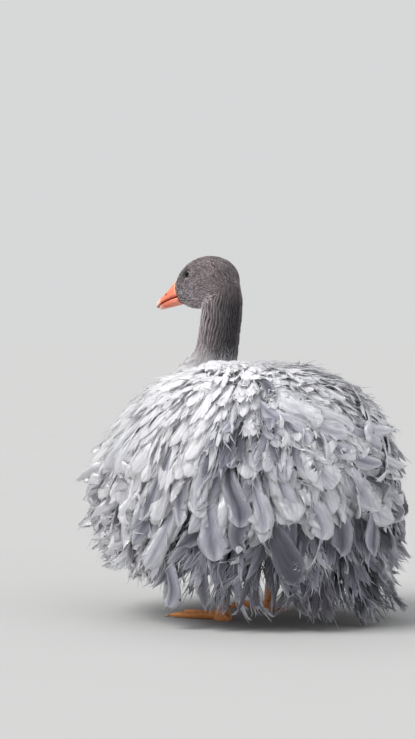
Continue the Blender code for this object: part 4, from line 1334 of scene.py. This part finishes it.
def foot_surface(points, place, side):
    """How near a toe's line each place is, and how far along it."""
    best, along = np.full(len(points), 9.0), np.zeros(len(points))
    for splay, length in TOES + (HIND_TOE,):
        turn = math.radians(side * splay)
        ahead = np.array([math.sin(turn), -math.cos(turn)])
        flat = points[:, :2] - place[:2]
        run = np.clip(flat @ ahead, 0, length)
        off = np.linalg.norm(flat - run[:, None] * ahead, axis=1)
        closer = off < best
        best, along = np.where(closer, off, best), np.where(closer, run, along)
    return best, along


def foot_piece(name, side):
    """A foot with scutes over the toes, knuckles and a wrinkled web."""
    obj = refined(f"scaled_foot_{name}", f"foot_{name}", 0.00095, 3)
    points, facing = read_points(obj.data), face_directions(obj.data)
    off, along = foot_surface(points, ankle(name, side), side)
    top = np.clip(facing[:, 2] * 2, 0, 1)
    on_toe = np.clip(1.6 - off / 0.0035, 0, 1)
    plate = 1 - np.abs(np.sin(math.pi * along / SCUTE)) ** 0.35
    web = 1 - on_toe
    wrinkle = np.sin(2 * math.pi * off / 0.0034 + 3 * np.sin(along / 0.006))
    raised = -0.00045 * plate * on_toe * top + 0.00016 * wrinkle * web * top
    moved = points + facing * raised[:, None]
    moved[:, 2] = np.where(points[:, 2] < 0.0004, points[:, 2], np.maximum(moved[:, 2], 0.0))
    move_points(obj.data, moved)
    skin = np.array(bpy.context.scene.goose_colours.leg)
    colour = mixed(np.broadcast_to(skin, points.shape), (0.36, 0.085, 0.03), 0.55 * plate * on_toe * top)
    colour = mixed(colour, (0.80, 0.36, 0.15), 0.35 * web * top)
    # Painted shade: darker where the foot faces down
    colour = mixed(colour, (0.48, 0.20, 0.10), 0.5 * np.clip(-facing[:, 2], 0, 1))
    paint(obj.data, colour)
    return obj


def leg_piece(name, side):
    """A leg with scutes down the shank and feathered skin above the hock."""
    obj = refined(f"scaled_leg_{name}", f"leg_{name}", 0.0012, 3)
    points, facing = read_points(obj.data), face_directions(obj.data)
    z = points[:, 2]
    shank = np.clip((0.112 - z) / 0.014, 0, 1)
    front = np.clip(-facing[:, 1] * 1.6, 0, 1)
    plate = 1 - np.abs(np.sin(math.pi * z / 0.0040)) ** 0.35
    move_points(obj.data, points - facing * (0.00045 * plate * front * shank)[:, None])
    skin = np.array(bpy.context.scene.goose_colours.leg)
    colour = mixed(np.broadcast_to(skin, points.shape), (0.36, 0.085, 0.03), 0.5 * plate * front)
    down = mixed(bpy.context.scene.goose_colours.white, bpy.context.scene.goose_colours.lavender, 0.6)
    colour = mixed(colour, down, 1 - shank)
    paint(obj.data, colour)
    return obj


def claw(name, place, splay, length, side, size):
    """One curved horn claw, swept from a circle at the end of a toe."""
    turn = math.radians(side * splay)
    ahead = Vector((math.sin(turn), -math.cos(turn), 0))
    start = Vector(place) + ahead * (length - 0.6 * size) + Vector((0, 0, 0.55 * size))
    bpy.ops.object.select_all(action="DESELECT")
    bpy.ops.mesh.primitive_circle_add(vertices=10, radius=0.36 * size, fill_type="NGON", location=start,
                                      rotation=(math.pi / 2, 0, turn))
    obj = bpy.context.active_object
    obj.name = obj.data.name = name
    bpy.ops.object.transform_apply(location=True, rotation=True, scale=True)
    bpy.ops.object.mode_set(mode="EDIT")
    bpy.ops.mesh.select_all(action="SELECT")
    middle = start.copy()
    for run, drop, narrow in ((0.5, 0.02, 0.92), (0.5, 0.10, 0.80), (0.4, 0.16, 0.62), (0.25, 0.16, 0.25)):
        step = ahead * run * size - Vector((0, 0, drop * size))
        bpy.ops.mesh.extrude_region_move(TRANSFORM_OT_translate={"value": step})
        middle = middle + step
        bpy.ops.transform.resize(value=(narrow, narrow, narrow), center_override=middle)
    bpy.ops.mesh.select_all(action="SELECT")
    bpy.ops.mesh.normals_make_consistent(inside=False)
    bpy.ops.object.mode_set(mode="OBJECT")
    bpy.ops.object.shade_smooth()
    return obj


class GOOSE_OT_feet(bpy.types.Operator):
    """The scaled legs, webbed feet and claws"""
    bl_idname = "goose.feet"
    bl_label = "Legs and feet"

    def execute(self, context):
        material, horn = scaled_skin_material(), horn_material()
        for name, side in (("left", 1), ("right", -1)):
            for make, part in ((foot_piece, "foot"), (leg_piece, "leg")):
                made = make(name, side)
                made.data.materials.append(material)
                dressed(made, "leg_skin", f"{part}_{name}")
            toes = [(*toe, CLAW_SIZE) for toe in TOES] + [(*HIND_TOE, HIND_CLAW_SIZE)]
            pieces = [claw(f"claw_{name}_{k}", ankle(name, side), splay, length, side, size)
                      for k, (splay, length, size) in enumerate(toes)]
            bpy.ops.object.select_all(action="DESELECT")
            for piece in pieces:
                piece.select_set(True)
            context.view_layer.objects.active = pieces[0]
            bpy.ops.object.join()
            claws = context.view_layer.objects.active
            claws.name = claws.data.name = f"claws_{name}"
            claws.data.materials.clear()
            claws.data.materials.append(horn)
            dressed(claws, "leg_skin")
        return {"FINISHED"}


class GOOSE_OT_neck(bpy.types.Operator):
    """The furrowed feathers of the neck and the soft collar at its foot"""
    bl_idname = "goose.neck"
    bl_label = "Neck feathers"

    def execute(self, context):
        rng = np.random.default_rng(context.scene.goose_coat.seed + 60)
        grid = neck_grid(skin_tree())
        ridges = Plumage(softness=0.1)
        neck_feathers(rng, ridges, grid)
        dressed(ridges.make("neck_feathers", plumage_material("goose_neck_plumage", 0.1, 0.05)),
                "grey_plumage")
        collar = Plumage()
        collar_feathers(rng, collar, grid)
        dressed(collar.make("collar", plumage_material("goose_collar_plumage")), "white_plumage")
        return {"FINISHED"}


class GOOSE_OT_head(bpy.types.Operator):
    """The short feathers of the head"""
    bl_idname = "goose.head"
    bl_label = "Head feathers"

    def execute(self, context):
        rng = np.random.default_rng(context.scene.goose_coat.seed + 80)
        made = Plumage(softness=0.25)
        head_feathers(rng, made, head_grid(skin_tree()))
        dressed(made.make("head_feathers", plumage_material("goose_head_plumage", 0.1, 0.05)), "grey_plumage")
        return {"FINISHED"}


class GOOSE_OT_wing_coats(bpy.types.Operator):
    """The long loose feathers over each wing and flank"""
    bl_idname = "goose.wing_coats"
    bl_label = "Wing coats"

    def execute(self, context):
        material = plumage_material("goose_wing_plumage")
        turns = (38, 151)
        for name, side in (("left", 1), ("right", -1)):
            rng = np.random.default_rng(context.scene.goose_coat.seed + side)
            long = Plumage()
            coat(rng, long, turns, (0.38, 0.52), 44, 0.875, 0.020, RAGGED, 0.94, side, stations=16,
                 wild=0.9, grey=0.10, barb_stations=4, loose=0.1)
            coat(rng, long, turns, (0.27, 0.42), 42, 0.80, 0.021, RAGGED, 0.96, side, stations=16, wild=0.8,
                 grey=0.12, loose=0.05)
            coat(rng, long, turns, (0.20, 0.34), 40, 0.70, 0.022, SMOOTH, 0.97, side, stations=14, wild=0.6,
                 grey=0.16, dark_share=0.15, shaft=0.0005)
            dressed(long.make(f"plumes_{name}", material), "white_plumage", f"wing_{name}")
            middle = Plumage()
            coat(rng, middle, turns, (0.13, 0.26), 40, 0.60, 0.021, SMOOTH, 0.98, side, shape=TONGUE,
                 wild=0.5, grey=0.10, dark_share=0.15, shaft=0.0005)
            coat(rng, middle, turns, (0.08, 0.20), 44, 0.48, 0.020, SILKY, 0.985, side, shape=TONGUE,
                 wild=0.45)
            placed(rng, middle, SWEEPING, side, SILKY, shape=TONGUE, wild=0.4, root=0.84, shaft=0.0006,
                   line=0.6, stations=18, margin=0.5, dark_share=0)
            placed(rng, middle, SHOWY, side, SMOOTH, shape=TONGUE, wild=0.35, root=0.8, shaft=0.0006,
                   line=0.5, stations=18, margin=0.7, dark_share=0)
            placed(rng, middle, STRIPS, side, RAGGED, wild=0.8, root=0.5, stations=18, dark_share=0,
                   barb_stations=4)
            dressed(middle.make(f"coverts_{name}", material), "white_plumage")
            short = Plumage()
            coat(rng, short, (30, 160), (0.02, 0.24), 210, -0.27, 0.016, WOOLLY, 0.99, side, stations=10,
                 wild=0.45, dark_share=0.02, thickness=0.0004)
            coat(rng, short, (40, 170), (0.02, 0.14), 60, -0.15, 0.013, WOOLLY, 0.975, side, stations=8,
                 wild=0.4, thickness=0.0004)
            coat(rng, short, (38, 100), (0.36, 0.76), 60, -0.11, 0.013, SILKY, 0.99, side, stations=10,
                 shape=TONGUE, wild=1.1, rise=35, dark_share=0)
            dressed(short.make(f"fluff_{name}", material), "white_plumage")
        return {"FINISHED"}


class GOOSE_OT_breast(bpy.types.Operator):
    """The feathers of the breast"""
    bl_idname = "goose.breast"
    bl_label = "Breast"

    def execute(self, context):
        rng = np.random.default_rng(context.scene.goose_coat.seed + 20)
        made, turns = Plumage(), (-42, 42)
        coat(rng, made, turns, (0.42, 0.58), 40, 0.875, 0.020, RAGGED, 0.95, wild=0.8)
        coat(rng, made, turns, (0.32, 0.46), 36, 0.74, 0.020, SMOOTH, 0.97, shape=TONGUE, wild=0.6)
        coat(rng, made, turns, (0.24, 0.60), 110, -0.20, 0.017, SILKY, 0.99, stations=9, shape=TONGUE,
             wild=0.4)
        coat(rng, made, turns, (0.13, 0.32), 90, -0.20, 0.016, SILKY, 0.96, stations=9, shape=TONGUE,
             wild=0.4)
        coat(rng, made, turns, (0.30, 0.72), 70, -0.11, 0.013, SILKY, 1.0, stations=9, shape=TONGUE,
             wild=1.0, rise=25)
        dressed(made.make("breast", plumage_material("goose_breast_plumage")), "white_plumage")
        return {"FINISHED"}


class GOOSE_OT_rump(bpy.types.Operator):
    """The feathers of the back, rump and vent"""
    bl_idname = "goose.rump"
    bl_label = "Rump and tail"

    def execute(self, context):
        rng = np.random.default_rng(context.scene.goose_coat.seed + 40)
        material = plumage_material("goose_rump_plumage")
        low, turns = Plumage(), (149, 211)
        coat(rng, low, turns, (0.48, 0.60), 34, 0.875, 0.020, RAGGED, 0.95, stations=16, wild=0.9,
             barb_stations=4, loose=0.15)
        coat(rng, low, turns, (0.36, 0.50), 32, 0.78, 0.021, RAGGED, 0.97, stations=16, wild=0.8)
        coat(rng, low, turns, (0.24, 0.38), 30, 0.63, 0.021, SMOOTH, 0.99, shape=TONGUE, wild=0.7,
             shaft=0.0005)
        coat(rng, low, (174, 204), (0.54, 0.64), 46, 0.93, 0.004, RAGGED, 0.99, stations=14, wild=1.4,
             dark_share=0.4)
        dressed(low.make("vent", material), "white_plumage", "tail")
        high = Plumage()
        coat(rng, high, turns, (0.12, 0.26), 32, 0.48, 0.020, SMOOTH, 0.99, shape=TONGUE, wild=0.5)
        coat(rng, high, (150, 210), (0.02, 0.30), 130, -0.23, 0.016, WOOLLY, 0.99, stations=10, wild=0.45,
             thickness=0.0004)
        coat(rng, high, (150, 210), (0.02, 0.16), 50, -0.15, 0.013, WOOLLY, 0.975, stations=8, wild=0.4,
             thickness=0.0004)
        saddle(rng, high)
        dressed(high.make("rump", material), "white_plumage")
        return {"FINISHED"}


# The camera's turn round the goose in degrees, its height and distance, and the part of the scene that it
# covers, in metres
CAMERA_TURN, CAMERA_HEIGHT, CAMERA_DISTANCE = 142.0, 0.3835, 3.2
VIEW_HEIGHT, VIEW_LEFT, VIEW_UP = 1.005, -0.056, 0.335

# How pale the floor is, and how strong the three lights are
FLOOR_TONE = 0.44
KEY_STRENGTH, FILL_STRENGTH, RIM_STRENGTH = 3.0, 0.5, 0.4


def sun_light(name, towards, strength, softness, colour):
    """A broad, distant studio light that shines along a direction."""
    light = bpy.data.lights.new(name, "SUN")
    light.energy, light.angle, light.color = strength, math.radians(softness), colour
    obj = bpy.data.objects.new(name, light)
    obj.location = -towards
    obj.rotation_euler = towards.to_track_quat("-Z", "Y").to_euler()
    bpy.context.scene.collection.objects.link(obj)
    return obj


class GOOSE_OT_stage(bpy.types.Operator):
    """The floor, the light and the camera"""
    bl_idname = "goose.stage"
    bl_label = "Stage"

    def execute(self, context):
        bpy.ops.object.select_all(action="DESELECT")
        bpy.ops.mesh.primitive_plane_add(size=400, location=(0, 0, 0))
        floor = context.active_object
        floor.name = "floor"
        material, tree, shader = node_material("pale_floor", 0.9, specular=0.0)
        grain = noise(tree, own_place(tree), 3.0)
        tone = node(tree, "ShaderNodeMapRange",
                    {"Value": grain, "To Min": FLOOR_TONE - 0.01, "To Max": FLOOR_TONE + 0.01})
        tree.links.new(tone.outputs[0], shader.inputs["Base Color"])
        floor.data.materials.append(material)
        back = Vector((math.sin(math.radians(CAMERA_TURN)), -math.cos(math.radians(CAMERA_TURN)), 0))
        right = Vector((-back.y, back.x, 0))
        target = right * VIEW_LEFT + Vector((0, 0, VIEW_UP))
        data = bpy.data.cameras.new("camera")
        camera = bpy.data.objects.new("camera", data)
        context.scene.collection.objects.link(camera)
        camera.location = target + back * CAMERA_DISTANCE + Vector((0, 0, CAMERA_HEIGHT - VIEW_UP))
        camera.rotation_euler = (target - camera.location).to_track_quat("-Z", "Y").to_euler()
        data.lens = data.sensor_width * CAMERA_DISTANCE / VIEW_HEIGHT
        data.clip_end = 100
        context.scene.camera = camera
        context.scene.view_settings.view_transform = "Standard"
        key = (right * 1.5 - back * 0.75 + Vector((0, 0, -1.9))).normalized()
        fill = (right * -1.2 - back * 1.6 + Vector((0, 0, -1.0))).normalized()
        rim = (right * 0.4 + back * 1.5 + Vector((0, 0, -1.6))).normalized()
        sun_light("key", key, KEY_STRENGTH, 40, (1.0, 0.99, 0.97))
        sun_light("fill", fill, FILL_STRENGTH, 60, (0.95, 0.97, 1.0))
        sun_light("rim", rim, RIM_STRENGTH, 30, (1.0, 1.0, 1.0))
        shone = -(KEY_STRENGTH * key.z + FILL_STRENGTH * fill.z + RIM_STRENGTH * rim.z) / math.pi
        glow = shone * FLOOR_TONE / (1 - FLOOR_TONE)
        world = bpy.data.worlds.new("studio")
        context.scene.world = world
        world.use_nodes = True
        world.node_tree.nodes["Background"].inputs["Color"].default_value = (0.985, 0.995, 1.0, 1)
        world.node_tree.nodes["Background"].inputs["Strength"].default_value = glow
        return {"FINISHED"}


class GOOSE_PT_panel(bpy.types.Panel):
    """Sizes, colours and pieces of the goose"""
    bl_idname = "GOOSE_PT_panel"
    bl_label = "Goose"
    bl_space_type = "VIEW_3D"
    bl_region_type = "UI"
    bl_category = "Goose"

    def draw(self, context):
        """Lists the settings, and a button for each piece."""
        for group in (context.scene.goose_coat, context.scene.goose_colours, context.scene.goose_head):
            for key in group.__annotations__:
                self.layout.prop(group, key)
        for kind in OPERATORS:
            self.layout.operator(kind.bl_idname)


GROUPS = (CoatSettings, ColourSettings, HeadSettings)
OPERATORS = (GOOSE_OT_skin, GOOSE_OT_bill, GOOSE_OT_eyes, GOOSE_OT_feet, GOOSE_OT_neck, GOOSE_OT_head,
             GOOSE_OT_wing_coats, GOOSE_OT_breast, GOOSE_OT_rump, GOOSE_OT_stage)


def register():
    """Makes the settings, operators and panel known."""
    for kind in GROUPS + OPERATORS + (GOOSE_PT_panel,):
        bpy.utils.register_class(kind)
    bpy.types.Scene.goose_coat = bpy.props.PointerProperty(type=CoatSettings)
    bpy.types.Scene.goose_colours = bpy.props.PointerProperty(type=ColourSettings)
    bpy.types.Scene.goose_head = bpy.props.PointerProperty(type=HeadSettings)


def unregister():
    """Takes them away again."""
    del bpy.types.Scene.goose_coat
    del bpy.types.Scene.goose_colours
    del bpy.types.Scene.goose_head
    for kind in reversed(GROUPS + OPERATORS + (GOOSE_PT_panel,)):
        bpy.utils.unregister_class(kind)


def main():
    """Makes the goose and its stage."""
    register()
    bpy.ops.goose.skin()
    bpy.ops.goose.bill()
    bpy.ops.goose.eyes()
    bpy.ops.goose.feet()
    bpy.ops.goose.neck()
    bpy.ops.goose.head()
    bpy.ops.goose.wing_coats()
    bpy.ops.goose.breast()
    bpy.ops.goose.rump()
    bpy.ops.goose.stage()


if __name__ == "__main__":
    main()
